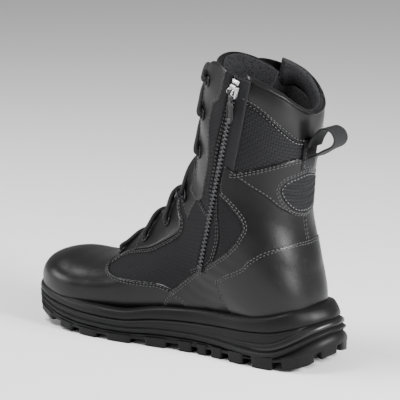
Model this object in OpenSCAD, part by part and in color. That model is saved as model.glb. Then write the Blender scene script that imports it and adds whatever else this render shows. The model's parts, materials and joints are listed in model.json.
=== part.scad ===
// Eight-inch side-zip fire boot, right foot. Toe towards -X, zip side towards -Y, sole on Z = 0.

/* [Boot] */
// Length of the outsole, toe to heel
sole_len = 318; // [290:1:340]
// Width of the outsole across the ball
ball_w = 111; // [100:1:124]
// Height of the collar at the front of the shaft
shaft_h = 266; // [230:1:300]

/* [Upper] */
// Thickness of the lining bootie
lining_t = 2; // [1.2:0.1:2.4]
// Thickness of the nylon and leather base panels
skin_t = 1.5; // [1:0.1:1.7]
// Thickness of the leather overlays
overlay_t = 1.5; // [1:0.1:2.2]
// Clearance left between two layers
layer_gap = 0.7; // [0.5:0.1:0.8]
// Clearance left between the edges of two panels, in turns round the boot
seam_gap = 0.006; // [0.004:0.001:0.01]

/* [Sole] */
// Share of the sole's height taken by the lugs
lug_share = 0.18; // [0.1:0.01:0.22]
// Share of the sole's height at the top of the outsole
tread_share = 0.34; // [0.28:0.01:0.38]
// Share of the sole's height at the foot of the rand
rand_share = 0.72; // [0.64:0.01:0.78]
// How far the heel leans in from its foot to its top
heel_rake = 11; // [4:1:14]

/* [Zip] */
// Width of the closed row of teeth
teeth_w = 6; // [4:0.5:7]
// Number of teeth along the chain
teeth_count = 44; // [20:1:60]
// Width of the zip tape on each side
tape_w = 9; // [6:0.5:12]
// Length of the puller
puller_l = 26; // [18:1:34]

/* [Lacing] */
// Diameter of the lace
lace_d = 3.6; // [3:0.2:4]
// Bore of an eyelet
eyelet_bore = 5; // [4:0.5:6]
// Flange diameter of an eyelet
eyelet_d = 10; // [8:0.5:12]

/* [Pull loop] */
// Width of the loop's webbing
loop_w = 22; // [16:1:30]
// Thickness of the loop's webbing
loop_t = 2.2; // [1.6:0.1:3]

/* [Hidden] */
$fn = 32;

// Scale of the pattern along each axis, from the driving sizes
kx = sole_len / 318;
ky = ball_w / 111;
kz = shaft_h / 266;
// Puts the origin under the middle of the boot's bounding box
origin_x = -4.245;
origin_y = -0.485;

// Stations of the last, toe tip to above the collar. Each is a ring that leans from the front
// rail (x, z) to the back rail (x, z), with the medial and lateral half widths, the centre's y
// and the squareness of its front and back halves.
LAST = [
    [-160,  43, -160,  41,  5,  5, -8, 2.0, 2.0],
    [-156,  53, -156,  29, 19, 18, -8, 2.2, 2.4],
    [-147,  62, -147,  23, 31, 32, -7, 2.3, 2.6],
    [-131,  66, -131,  20, 41, 42, -6, 2.3, 2.8],
    [-111,  65, -111,  18, 47, 49, -4, 2.2, 3.0],
    [ -90,  66,  -85,  17, 48, 52, -2, 2.1, 3.0],
    [ -69,  73,  -55,  18, 46, 51, -1, 1.9, 3.0],
    [ -49,  88,  -20,  21, 43, 48,  0, 1.8, 3.0],
    [ -31, 105,   22,  26, 40, 44,  0, 1.8, 3.0],
    [ -14, 124,   66,  28, 40, 41,  0, 1.8, 3.0],
    [  -1, 144,  106,  29, 45, 41,  0, 1.8, 3.0],
    [   6, 164,  132,  46, 47, 41,  0, 1.7, 2.5],
    [   9, 184,  127,  84, 48, 42,  0, 1.6, 2.2],
    [  11, 203,  118, 120, 47, 44,  0, 1.5, 2.1],
    [  12, 220,  116, 150, 47, 45,  0, 1.5, 2.1],
    [14.5, 236,  120, 179, 47, 46,  0, 1.5, 2.1],
    [16.5, 251,  124, 205, 48, 46,  0, 1.5, 2.1],
    [19.5, 266,  127, 230, 48, 46,  0, 1.5, 2.1],
    [  23, 281,  130, 255, 48, 46,  0, 1.5, 2.1],
];

// Stations of the sole, toe to heel: x, medial y, lateral y, top z, bottom z
SOLE = [
    [-163,  -8, -8, 36, 17],
    [-161, -23,  7, 36, 16],
    [-154, -34, 18, 35, 13],
    [-141, -43, 30, 34,  9],
    [-122, -50, 41, 32,  4],
    [ -99, -54, 50, 30,  1],
    [ -72, -55, 55, 29,  0],
    [ -43, -52, 56, 29,  0],
    [ -12, -46, 53, 35,  0],
    [  20, -41, 48, 38,  0],
    [  52, -40, 45, 40,  0],
    [  84, -42, 44, 42,  0],
    [ 112, -41, 42, 46,  0],
    [ 134, -34, 35, 51,  4],
    [ 147, -22, 23, 53, 10],
    [ 153, -10, 11, 54, 14],
    [ 155,   0,  0, 54, 15],
];

// Front and rear x of each lug along the sole's edge
LUGS = [[-152, -127], [-118, -99], [-93, -70], [-61, -34], [-22, 1], [12, 27],
        [32, 43], [47, 60], [66, 84], [91, 114], [120, 158]];

function lerp(p, q, t) = p + (q - p) * t;
function clamp01(t) = max(0, min(1, t));
function ease(t) = let (c = clamp01(t)) c * c * (3 - 2 * c);
function cr(p, q, r, s, t) = 0.5 * (2 * q + (r - p) * t + (2 * p - 5 * q + 4 * r - s) * t * t
                                    + (3 * q - 3 * r + s - p) * t * t * t);
// A row of a table, carried on in a straight line past its ends
function row(T, i) = i < 0 ? 2 * T[0] - T[-i] : i >= len(T) ? 2 * T[len(T) - 1] - T[2 * len(T) - 2 - i] : T[i];
// A smooth value through the rows of a table
function through(T, v) = let (i = max(0, min(floor(v), len(T) - 2)))
    cr(row(T, i - 1), row(T, i), row(T, i + 1), row(T, i + 2), v - i);
// A smooth value along a short list, with t running from 0 to 1
function along(L, t) = len(L) == 1 ? L[0] : through(L, t * (len(L) - 1));

// A point of the last's surface: v is the station, a the turn round it from the front (0),
// through the medial side (0.25) and the back or bottom (0.5) to the lateral side (0.75)
function last_at(v, a) =
    let (s = through(LAST, v), c = cos(360 * a), w = sin(360 * a), n = c > 0 ? s[7] : s[8],
         k = pow(pow(abs(c), n) + pow(abs(w), n), -1 / n), m = (1 - c * k) / 2)
    [kx * lerp(s[0], s[2], m) - origin_x, ky * (s[6] - w * k * (w > 0 ? s[4] : s[5])) - origin_y,
     kz * lerp(s[1], s[3], m)];
function last_normal(v, a) =
    let (e = 0.02, f = 0.004, n = cross(last_at(v, a + f) - last_at(v, a - f), last_at(v + e, a) - last_at(v - e, a)))
    n / norm(n);
// The same point, moved out by d
function skin(v, a, d) = last_at(v, a) + d * last_normal(v, a);

// Layers, as distances out from the last's surface
over_out = 1;
over_in = over_out - overlay_t;
skin_out = over_in - layer_gap;
skin_in = skin_out - skin_t;
lining_out = skin_in - layer_gap;
toe_room = 3.4;
heel_room = 2.8;
// Outer face of the lining, set in where the toe cap and the heel stiffener stand
function lining_d(v, a) = lining_out - toe_room * ease((6.4 - v) / 1.6)
    - heel_room * ease((v - 8.6) / 1.2) * ease((13.4 - v) / 1.2) * ease((0.27 - abs(a - 0.5)) / 0.06);

// Collar line: the station at which the shaft ends, highest on both sides and lowest at the back
function top_v(a) = 16.75 + 0.95 * ease((abs(a - 0.5) - 0.02) / 0.2);

// Sum of a list of numbers, and six times the signed volume that one face adds
function total(L) = L * [for (x = L) 1];
function face_volume(P, f) = total([for (i = [1:len(f) - 2]) P[f[0]] * cross(P[f[i]], P[f[i + 1]])]);
function reversed(f) = [for (i = [len(f) - 1:-1:0]) f[i]];
// A closed solid from points and faces, turned to face outwards
module solid(P, F) {
    turned = total([for (f = F) face_volume(P, f)]) > 0;
    polyhedron(P, turned ? [for (f = F) reversed(f)] : F, convexity = 8);
}
function quad(a, b, c, d) = [[a, b, c], [a, c, d]];
function flat(L) = [for (l = L) for (x = l) x];

// A slab between an outer and an inner grid of points, both rows x cols
module slab(outer, inner) {
    r = len(outer);
    c = len(outer[0]);
    n = r * c;
    P = concat(flat(outer), flat(inner));
    top = [for (i = [0:r - 2], j = [0:c - 2])
           each quad(i * c + j, i * c + j + 1, (i + 1) * c + j + 1, (i + 1) * c + j)];
    under = [for (f = top) [f[2] + n, f[1] + n, f[0] + n]];
    rim = concat([for (j = [0:c - 1]) j], [for (i = [1:r - 1]) i * c + c - 1],
                 [for (j = [c - 2:-1:0]) (r - 1) * c + j], [for (i = [r - 2:-1:1]) i * c]);
    m = len(rim);
    edge = [for (k = [0:m - 1]) each quad(rim[(k + 1) % m], rim[k], rim[k] + n, rim[(k + 1) % m] + n)];
    solid(P, concat(top, under, edge));
}

// A panel of the upper between two curves of [station, turn], lying from d0 to d1
module panel(from, to, d0, d1, rows = 10, cols = 6) {
    g = [for (i = [0:rows]) [for (j = [0:cols]) lerp(along(from, i / rows), along(to, i / rows), j / cols)]];
    slab([for (l = g) [for (p = l) skin(p[0], p[1], d1)]], [for (l = g) [for (p = l) skin(p[0], p[1], d0)]]);
}
// The lateral side's copy of a pattern curve
function mirrored(L) = [for (p = L) [p[0], 1 - p[1]]];

// A sleeve all round the boot between two stations, open at both ends or closed at the toe
module sleeve(v0, v1, thick, rows, cols = 32, closed = false) {
    outer = [for (i = [0:rows]) [for (j = [0:cols - 1])
             let (a = j / cols, v = lerp(v0, v1, i / rows)) skin(v, a, lining_d(v, a))]];
    inner = [for (i = [0:rows]) [for (j = [0:cols - 1])
             let (a = j / cols, v = lerp(v0, v1, i / rows)) skin(v, a, lining_d(v, a) - thick)]];
    r = rows + 1;
    n = r * cols;
    P = concat(flat(outer), flat(inner));
    wall = [for (i = [0:rows - 1], j = [0:cols - 1]) let (k = (j + 1) % cols)
            each quad(i * cols + j, i * cols + k, (i + 1) * cols + k, (i + 1) * cols + j)];
    under = [for (f = wall) [f[2] + n, f[1] + n, f[0] + n]];
    last_row = rows * cols;
    mouth = [for (j = [0:cols - 1]) let (k = (j + 1) % cols)
             each quad(last_row + j, last_row + k, last_row + k + n, last_row + j + n)];
    throat = [for (j = [0:cols - 1]) let (k = (j + 1) % cols) each quad(k, j, j + n, k + n)];
    toe_tip = [reversed([for (j = [0:cols - 1]) j]), [for (j = [0:cols - 1]) j + n]];
    solid(P, concat(wall, under, mouth, closed ? toe_tip : throat));
}

// A closed body of the last from the toe to station v1, grown by d
module last_body(v1, d, rows = 30, cols = 32) {
    P = [for (i = [0:rows], j = [0:cols - 1]) skin(v1 * i / rows, j / cols, d)];
    wall = [for (i = [0:rows - 1], j = [0:cols - 1]) let (k = (j + 1) % cols)
            each quad(i * cols + j, i * cols + k, (i + 1) * cols + k, (i + 1) * cols + j)];
    ends = [reversed([for (j = [0:cols - 1]) j]), [for (j = [0:cols - 1]) rows * cols + j]];
    solid(P, concat(wall, ends));
}

// Frame on the upper's surface: children stand on it with local Z outwards and local X up the boot
module at_skin(v, a, d) {
    n = last_normal(v, a);
    up = last_at(v + 0.05, a) - last_at(v, a);
    w = up - n * (up * n);
    x = w / norm(w);
    y = cross(n, x);
    p = skin(v, a, d);
    multmatrix([[x[0], y[0], n[0], p[0]], [x[1], y[1], n[1], p[1]], [x[2], y[2], n[2], p[2]], [0, 0, 0, 1]])
        children();
}

// Edge of the sole as one closed curve: toe, medial side, heel, lateral side
side_rows = len(SOLE) - 1;
EDGE = concat([for (i = [0:side_rows]) [SOLE[i][0], SOLE[i][1], SOLE[i][3], SOLE[i][4]]],
              [for (i = [side_rows - 1:-1:1]) [SOLE[i][0], SOLE[i][2], SOLE[i][3], SOLE[i][4]]]);
turns = len(EDGE);
function edge_row(i) = EDGE[(i + turns) % turns];
function edge_at(u) = let (i = floor(u)) cr(edge_row(i - 1), edge_row(i), edge_row(i + 1), edge_row(i + 2), u - i);
// A point of the sole's side wall at share t of its height, moved out by d
function sole_at(u, t, d) =
    let (w = (u + turns) % turns, p = edge_at(w), q = edge_at(w + 0.1 + turns) - edge_at(w - 0.1 + turns),
         s = norm([q[0], q[1]]), x = p[0] + d * q[1] / s - heel_rake * t * t * ease((p[0] - 96) / 54))
    [kx * x - origin_x, ky * (p[1] - d * q[0] / s) - origin_y, kz * lerp(max(0, p[3]), p[2], t)];

// A layer of the sole through a list of [share of height, distance out]
module sole_layer(levels, around = 64) {
    m = around;
    top = (len(levels) - 1) * m;
    P = [for (l = levels, k = [0:m - 1]) sole_at(turns * k / m, l[0], l[1])];
    wall = [for (i = [0:len(levels) - 2], j = [0:m - 1]) let (k = (j + 1) % m)
            each quad(i * m + j, i * m + k, (i + 1) * m + k, (i + 1) * m + j)];
    cap = concat([[0, m - 1, 1]], [for (k = [1:m / 2 - 2]) each quad(k, m - k, m - k - 1, k + 1)],
                 [[m / 2 - 1, m / 2 + 1, m / 2]]);
    solid(P, concat(wall, cap, [for (f = cap) [f[2] + top, f[1] + top, f[0] + top]]));
}

// Clearance between the sole and what stands in it
sole_gap = 1.2;

module outsole() {
    color("#1d1d1f") union() {
        sole_layer([[lug_share, -2], [0.26, -1], [tread_share, -0.5]]);
        intersection() {
            sole_layer([[0, -4], [lug_share + 0.02, -2.2]]);
            lug_columns();
        }
    }
}
// Blocks that cut the lug layer: one lug on each edge and a smaller one between them
module lug_columns() {
    for (l = LUGS) {
        long = kx * (l[1] - l[0]);
        translate([kx * l[0] - origin_x, -80, -1]) cube([long, 64, 30]);
        translate([kx * l[0] - origin_x, 16, -1]) cube([long, 64, 30]);
        translate([kx * l[0] - origin_x + 3, -11, -1]) cube([long - 6, 22, 30]);
    }
}
module midsole() {
    color("#232325") difference() {
        sole_layer([[tread_share + 0.01, -1], [0.44, 0.5], [0.56, -0.5], [0.6, -2], [0.66, 0], [rand_share - 0.01, 0]]);
        last_body(12, over_out + sole_gap);
    }
}
module rand() {
    color("#1f1f21") difference() {
        sole_layer([[rand_share, -1], [0.8, 0.2], [0.93, 0], [1, -1.6]]);
        last_body(12, over_out + sole_gap);
    }
}
// Raised wrap round the back of the sole
clip_from = 11.5;
clip_to = 20.5;
module heel_clip() {
    color("#2a2a2c") slab(
        [for (i = [0:24]) let (u = lerp(clip_from, clip_to, i / 24), h = 0.06 + 0.06 * ease(2 * min(i, 24 - i) / 12))
         [for (s = [-1, -0.5, 0.5, 1]) sole_at(u, 0.5 + h * s, 2.6 - abs(s))]],
        [for (i = [0:24]) let (u = lerp(clip_from, clip_to, i / 24), h = 0.06 + 0.06 * ease(2 * min(i, 24 - i) / 12))
         [for (s = [-1, -0.5, 0.5, 1]) sole_at(u, 0.5 + h * s, 0.9)]]);
}
module shank() {
    color("silver") panel([[5.2, 0.485], [7, 0.485], [9.6, 0.485]], [[5.2, 0.515], [7, 0.515], [9.6, 0.515]],
                          over_in, over_out, 10, 3);
}
module lasting_board() {
    color("tan") panel([[1.2, 0.45], [3, 0.428], [6, 0.422], [9, 0.436], [10.7, 0.47]],
                       [[1.2, 0.55], [3, 0.572], [6, 0.578], [9, 0.564], [10.7, 0.53]], skin_in, skin_out, 16, 6);
}
// Removable footbed on the floor of the bootie
footbed_t = 4;
module footbed() {
    color("dimgray") panel([[1.6, 0.44], [3, 0.42], [6, 0.41], [9, 0.42], [10.6, 0.45]],
                           [[1.6, 0.56], [3, 0.58], [6, 0.59], [9, 0.58], [10.6, 0.55]],
                           lining_out - toe_room - lining_t - 0.8 - footbed_t,
                           lining_out - toe_room - lining_t - 0.8, 16, 6);
}
module toe_cap() {
    color("gainsboro") panel([[0.6, 0.3], [2, 0.33], [4.2, 0.32]], [[0.6, -0.3], [2, -0.33], [4.2, -0.32]],
                             lining_out - toe_room + 0.8, lining_out - 0.1, 10, 20);
}
module heel_stiffener() {
    color("beige") panel([[9.8, 0.33], [10.8, 0.33], [12.2, 0.36]], [[9.8, 0.67], [10.8, 0.67], [12.2, 0.64]],
                         lining_out - heel_room + 0.7, lining_out - 0.8, 9, 20);
}

// Lengths of the lining bootie, with a small gap at each sewn joint
module lining_toe() { color("slategray") sleeve(0, 5.4, lining_t, 10, closed = true); }
// Turn at which the open lengths of the lining stop beside the tongue
function lining_front(v) = lookup(v, [[5.4, 0.02], [5.7, 0.037], [8, 0.087], [11, 0.138], [14, 0.158], [17.6, 0.165]]);
// An open length of the lining from station v0 up to a height that may change round the boot
module lining_length(v0, rows, cols, v1) {
    spots = [for (i = [0:rows]) [for (j = [0:cols])
             let (h = i / rows, w = lerp(v0, v1(0.5), h), f = lining_front(w), a = lerp(f, 1 - f, j / cols))
             [lerp(v0, v1(a), h), a]]];
    color("slategray") slab([for (l = spots) [for (p = l) skin(p[0], p[1], lining_d(p[0], p[1]))]],
                            [for (l = spots) [for (p = l) skin(p[0], p[1], lining_d(p[0], p[1]) - lining_t)]]);
}
module lining_waist() { lining_length(5.42, 9, 28, function(a) 9.4); }
module lining_heel() { lining_length(9.42, 8, 28, function(a) 11.9); }
// Collar seam: the station at which the collar's lower edge runs
function collar_v(a) = 15.65 + 0.9 * ease((abs(a - 0.5) - 0.04) / 0.16);
module lining_shaft() { lining_length(11.92, 10, 26, function(a) collar_v(a) - 0.12); }

// Seam lines of the upper, as [station, turn] from low to high or from front to back
sole_turn = 0.41;
QUARTER_TOP = [[5.75, 0.105], [6.9, 0.108], [7.8, 0.135], [8.6, 0.145], [9.2, 0.14], [9.6, 0.1]];
QUARTER_FOOT = [[5.8, 0.125], [6.4, 0.2], [7.1, 0.24], [8.1, 0.285], [8.8, 0.27], [9.4, 0.236]];
ZIP_PATH = [[9.44, 0.253], [10.1, 0.222], [10.8, 0.204], [11.8, 0.208], [13, 0.233], [14.5, 0.251],
            [16, 0.263], [17.5, 0.275]];
function shifted(L, dv, da) = [for (p = L) [p[0] + dv, p[1] + da]];

module vamp() {
    wing_in = [[5.5, 0.06], [5.8, 0.15], [6.4, 0.212], [7.1, 0.252], [8, 0.3]];
    wing_out = [[5.4, sole_turn], [5.8, sole_turn], [6.4, sole_turn], [7, sole_turn], [7.4, 0.4]];
    color("#161617") union() {
        panel([[0.1, 0.4], [1.5, sole_turn], [5.6, sole_turn]], [[0.1, -0.4], [1.5, -sole_turn], [5.6, -sole_turn]],
              skin_in, skin_out, 12, 18);
        panel(wing_in, wing_out, skin_in + 0.1, skin_out - 0.1, 8, 4);
        panel(mirrored(wing_in), mirrored(wing_out), skin_in + 0.1, skin_out - 0.1, 8, 4);
    }
}
module quarter_panel(top, foot) { panel(top, foot, skin_in, skin_out, 10, 5); }
module quarter_medial() { color("#26272a") quarter_panel(QUARTER_TOP, QUARTER_FOOT); }
module quarter_lateral() { color("#26272a") quarter_panel(mirrored(QUARTER_TOP), mirrored(QUARTER_FOOT)); }

SHAFT_FRONT = [[7.9, 0.34], [8.7, 0.3], [9.5, 0.274], [10.3, 0.235], [11.2, 0.222], [12.4, 0.238],
               [14.2, 0.264], [16.4, 0.284]];
SHAFT_REAR = [[7.7, sole_turn], [9, 0.42], [10.3, 0.44], [11.3, 0.495], [12.5, 0.495], [13.6, 0.495],
              [14.6, 0.495], [15.4, 0.495]];
module shaft_panel_medial() { color("#232427") panel(SHAFT_FRONT, SHAFT_REAR, skin_in, skin_out, 16, 8); }
module shaft_panel_lateral() {
    color("#232427") panel(mirrored(SHAFT_FRONT), mirrored(SHAFT_REAR), skin_in, skin_out, 16, 8);
}

// Eyelets, as [station, turn] on the medial side, from the toe up
LOWER_EYELETS = [[6.0, 0.056], [7.25, 0.06], [8.5, 0.072]];
SPEED_LOOPS = [[10, 0.08]];
UPPER_EYELETS = [[12.4, 0.11], [14.3, 0.128], [16.1, 0.14]];
function both(L) = concat(L, mirrored(L));
module eyelet_holes(L) {
    for (e = L) at_skin(e[0], e[1], over_in - 1) cylinder(d = eyelet_bore + 1.8, h = overlay_t + 2);
}
LOWER_STAY_IN = [[5.62, 0.03], [7, 0.036], [8.5, 0.04], [9.6, 0.05]];
LOWER_STAY_OUT = [[5.7, 0.088], [6.3, 0.088], [7, 0.11], [7.8, 0.14], [8.6, 0.148], [9.25, 0.12]];
module lower_eyestay_medial() {
    color("#1b1b1d") difference() {
        panel(LOWER_STAY_IN, LOWER_STAY_OUT, over_in, over_out, 10, 4);
        eyelet_holes(LOWER_EYELETS);
    }
}
module lower_eyestay_lateral() {
    color("#1b1b1d") difference() {
        panel(mirrored(LOWER_STAY_IN), mirrored(LOWER_STAY_OUT), over_in, over_out, 10, 4);
        eyelet_holes(mirrored(LOWER_EYELETS));
    }
}
UPPER_STAY_IN = [[10.5, 0.1], [12.2, 0.08], [14.3, 0.09], [17.1, 0.1]];
UPPER_STAY_OUT = [[10.6, 0.115], [11.7, 0.16], [13, 0.18], [15, 0.19], [16.2, 0.218], [17.2, 0.23]];
module upper_eyestay_medial() {
    color("#1b1b1d") difference() {
        panel(UPPER_STAY_IN, UPPER_STAY_OUT, over_in, over_out, 12, 4);
        eyelet_holes(UPPER_EYELETS);
    }
}
module upper_eyestay_lateral() {
    color("#1b1b1d") difference() {
        panel(mirrored(UPPER_STAY_IN), mirrored(UPPER_STAY_OUT), over_in, over_out, 12, 4);
        eyelet_holes(mirrored(UPPER_EYELETS));
    }
}
SADDLE_FRONT = [[7.4, 0.39], [8.1, 0.3], [8.9, 0.275], [9.5, 0.284], [10.3, 0.264], [11.2, 0.27],
                [12, 0.3], [12.7, 0.32], [13, 0.39], [13, 0.44], [13, 0.494]];
SADDLE_REAR = [[8.5, 0.39], [9.2, 0.345], [9.4, 0.31], [9.75, 0.294], [10.4, 0.29], [11.2, 0.303],
               [11.85, 0.34], [12.35, 0.385], [12.62, 0.42], [12.75, 0.46], [12.75, 0.494]];
module saddle_medial() { color("#171718") panel(SADDLE_FRONT, SADDLE_REAR, over_in + 0.4, over_out + 0.4, 20, 5); }
module saddle_lateral() {
    color("#171718")
    panel(mirrored(SADDLE_FRONT), mirrored(SADDLE_REAR), over_in + 0.4, over_out + 0.4, 20, 5);
}
STRAP_UP = [[13.5, 0.272], [14.15, 0.323], [14.7, 0.378], [15.05, 0.44], [15.1, 0.494]];
STRAP_FOOT = [[13.3, 0.275], [13.35, 0.3], [13.4, 0.36], [13.9, 0.403], [14.7, 0.44]];
module ankle_strap_medial() { color("#1a1a1b") panel(STRAP_FOOT, STRAP_UP, over_in, over_out, 10, 4); }
module ankle_strap_lateral() {
    color("#1a1a1b") panel(mirrored(STRAP_FOOT), mirrored(STRAP_UP), over_in, over_out, 10, 4);
}
rib_count = 4;
module achilles_panel() {
    foot = [[14.0, 0.415], [13.5, 0.44], [13.4, 0.5], [13.5, 0.56], [14.0, 0.585]];
    top = [[14.1, 0.418], [14.5, 0.45], [14.55, 0.5], [14.5, 0.55], [14.1, 0.582]];
    color("#222224") panel(foot, top, over_in, over_out, 12, 2 * rib_count);
}
COUNTER_TOP = [[9.8, 0.303], [10.4, 0.3], [11.15, 0.315], [11.75, 0.352], [12.25, 0.4], [12.5, 0.45], [12.55, 0.5]];
COUNTER_FOOT = [[9.45, 0.345], [9.5, 0.38], [9.9, 0.41], [10.4, 0.43], [10.8, 0.45], [11, 0.475], [11.05, 0.5]];
module heel_counter() {
    round_top = concat(COUNTER_TOP, reversed([for (i = [0:len(COUNTER_TOP) - 2]) mirrored(COUNTER_TOP)[i]]));
    round_foot = concat(COUNTER_FOOT, reversed([for (i = [0:len(COUNTER_FOOT) - 2]) mirrored(COUNTER_FOOT)[i]]));
    color("#19191a") panel(round_foot, round_top, over_in, over_out, 24, 5);
}
// Padded collar from the zip round the back to the lateral eyestay
collar_in = lining_out - 3.5;
collar_from = 0.298;
collar_to = 0.7;
module collar() {
    spots = [for (i = [0:30]) let (a = lerp(collar_from, collar_to, i / 30))
             [for (s = [0, 0.3, 0.6, 0.85, 1]) [lerp(collar_v(a), top_v(a), s), a, 1 - 0.35 * ease((s - 0.6) / 0.4)]]];
    mid = (over_out + 0.6 + collar_in) / 2;
    half = (over_out + 0.6 - collar_in) / 2;
    color("#18181a") slab([for (l = spots) [for (p = l) skin(p[0], p[1], mid + half * p[2])]],
                          [for (l = spots) [for (p = l) skin(p[0], p[1], mid - half * p[2])]]);
}
tongue_t = 5;
module tongue() {
    edge = [[5.7, 0.02], [8, 0.07], [11, 0.12], [14, 0.14], [16.5, 0.145], [17.35, 0.13]];
    color("#202124") panel(edge, shifted(mirrored(edge), 0, -1), lining_out - tongue_t, lining_out, 22, 12);
}
FACING_FRONT = [[9.7, 0.125], [10.7, 0.1], [12.2, 0.1], [14.3, 0.11], [17.1, 0.12]];
FACING_REAR = [[9.75, 0.222], [10.7, 0.19], [12.2, 0.2], [14.3, 0.234], [17.3, 0.256]];
module zip_facing() { color("#232427") panel(FACING_FRONT, FACING_REAR, skin_in, skin_out, 14, 4); }
module lateral_facing() {
    color("#232427") panel(mirrored(FACING_FRONT), mirrored(shifted(FACING_REAR, 0, 0.02)), skin_in, skin_out, 14, 5);
}
module zip_gusset() {
    color("#111112") panel(shifted(ZIP_PATH, 0, -0.009), shifted(ZIP_PATH, 0, 0.009), skin_in, skin_out, 16, 3);
}
module zip_tape() {
    color("#141415") panel(shifted(ZIP_PATH, 0, -0.022), shifted(ZIP_PATH, 0, 0.022), over_in, over_in + 0.9, 16, 5);
}

// The chain runs straight between these two points, clear of the tape
zip_lift = over_in + 4.1;
zip_foot = skin(9.5, 0.25, zip_lift);
zip_head = skin(17.2, 0.272, zip_lift);
zip_run = norm(zip_head - zip_foot);
zip_up = (zip_head - zip_foot) / zip_run;
zip_side = last_normal(13.5, 0.235);
zip_flat = zip_side - zip_up * (zip_side * zip_up);
zip_out = zip_flat / norm(zip_flat);
zip_across = cross(zip_out, zip_up);
// Children stand at distance s up the chain: local X across it, Y outwards, Z up the chain
module on_zip(s) {
    p = zip_foot + zip_up * s;
    multmatrix([[zip_across[0], zip_out[0], zip_up[0], p[0]], [zip_across[1], zip_out[1], zip_up[1], p[1]],
                [zip_across[2], zip_out[2], zip_up[2], p[2]], [0, 0, 0, 1]]) children();
}
teeth_t = 1.8;
tooth_pitch = (zip_run - 6) / teeth_count;
module zip_chain() {
    color("#3a3a3d") union() {
        on_zip(3) translate([-0.7, -0.6, 0]) cube([1.4, 1.2, zip_run - 6]);
        for (i = [0:teeth_count - 1]) on_zip(3 + tooth_pitch * (i + 0.1))
            translate([i % 2 == 0 ? -0.5 : -teeth_w / 2, -teeth_t / 2, 0])
                cube([teeth_w / 2 + 0.5, teeth_t, tooth_pitch * 0.7]);
    }
}
module zip_top_stop() {
    color("silver") on_zip(zip_run - 2.7) translate([-teeth_w / 2 - 1, -teeth_t / 2 - 0.2, 0])
        cube([teeth_w + 2, teeth_t + 0.6, 4]);
}
module zip_bottom_stop() {
    color("silver") on_zip(-2) translate([-teeth_w / 2 - 0.5, -teeth_t / 2 - 0.2, 0])
        cube([teeth_w + 1, teeth_t + 0.4, 4.6]);
}
// Slider: a plate over the teeth, two flanges beside them and a bail with a cross bar
slider_l = 12;
slider_rest = zip_run - 3.4 - slider_l;
plate_y = teeth_t / 2 + 0.3;
plate_t = 1.4;
bar_y = plate_y + plate_t + 2;
bar_d = 1.8;
bar_len = 6.4;
module zip_slider() {
    flange_x = teeth_w / 2 + 0.3;
    color("silver") on_zip(slider_rest) union() {
        translate([-flange_x - 1, plate_y, 0]) cube([2 * flange_x + 2, plate_t, slider_l]);
        for (side = [-1, 1]) {
            translate([side > 0 ? flange_x : -flange_x - 1, -teeth_t / 2, 1]) cube([1, teeth_t + 1, slider_l - 2]);
            translate([side > 0 ? bar_len / 2 - 1 : -bar_len / 2, plate_y + plate_t - 0.2, slider_l / 2 - 2.2])
                cube([1, bar_y - plate_y - plate_t + 1.4, 4.4]);
        }
        translate([-bar_len / 2, bar_y, slider_l / 2]) rotate([0, 90, 0]) cylinder(d = bar_d, h = bar_len);
    }
}
// Puller: an eye round the bail's bar and a flat tab, hanging plumb as far as its hinge lets it
eye_bore = bar_d + 0.4;
eye_w = 3.6;
eye_d = 4;
tab_w = 7.5;
tab_t = 1.6;
hang = atan2(-zip_out[2], zip_up[2]);
module zip_puller() {
    color("#2b2b2d") on_zip(slider_rest) translate([0, bar_y, slider_l / 2]) rotate([hang, 0, 0]) difference() {
        union() {
            translate([-eye_w / 2, 0, 0]) rotate([0, 90, 0]) cylinder(d = eye_d, h = eye_w);
            translate([-eye_w / 2, -tab_t / 2, -8]) cube([eye_w, tab_t, 7]);
            translate([-tab_w / 2, -tab_t / 2, -puller_l]) cube([tab_w, tab_t, puller_l - 7.5]);
        }
        translate([-eye_w, 0, 0]) rotate([0, 90, 0]) cylinder(d = eye_bore, h = 2 * eye_w);
    }
}

// One eyelet: a flange on the leather and a barrel through it
module eyelet() {
    difference() {
        union() {
            cylinder(d = eyelet_d, h = 1);
            translate([0, 0, -overlay_t]) cylinder(d = eyelet_bore + 1.2, h = overlay_t + 0.5);
        }
        translate([0, 0, -5]) cylinder(d = eyelet_bore, h = 10);
    }
}
module lower_eyelets() {
    color("#39393b") for (e = both(LOWER_EYELETS)) at_skin(e[0], e[1], over_out + 0.5) eyelet();
}
module upper_eyelets() {
    color("#39393b") for (e = both(UPPER_EYELETS)) at_skin(e[0], e[1], over_out + 0.3) eyelet();
}
// Speed loop: a base plate and an arch of wire that the lace runs under
plate = [8, 14.8, 1.2];
arch_r = 6.6;
arch_d = 1.8;
module speed_loops() {
    color("#39393b") for (e = both(SPEED_LOOPS)) at_skin(e[0], e[1], over_out + 0.2) {
        translate([-plate[0] / 2, -plate[1] / 2, 0]) cube(plate);
        translate([0, 0, plate[2] - 0.2]) rotate([90, 0, 90])
            rotate_extrude(angle = 180) translate([arch_r, 0]) circle(d = arch_d);
    }
}

// Lace: down one side of every pair, across at the toe and back up, over the other strand
lace_h = over_out + 2.3 + lace_d / 2;
cross_low = lace_h - 3.4;
cross_high = cross_low + lace_d + 0.6;
HOLDERS = concat(LOWER_EYELETS, SPEED_LOOPS, UPPER_EYELETS);
pairs = len(HOLDERS);
// Strand k = 0 starts on the medial side at the top, k = 1 on the lateral side
function holder(i, k) = [HOLDERS[i][0], (i + k) % 2 == 0 ? HOLDERS[i][1] : -HOLDERS[i][1], lace_h];
function strand(k) = [for (i = [0:pairs - 1]) each i == pairs - 1 ? [holder(i, k)] :
    [holder(i, k), [(HOLDERS[i][0] + HOLDERS[i + 1][0]) / 2, 0, k == 0 ? cross_low : cross_high]]];
LACE = concat(reversed(strand(0)), [[5.55, 0, lace_h]], strand(1));
function lace_spot(t) = let (p = along(LACE, t)) skin(p[0], p[1], p[2]);
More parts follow.
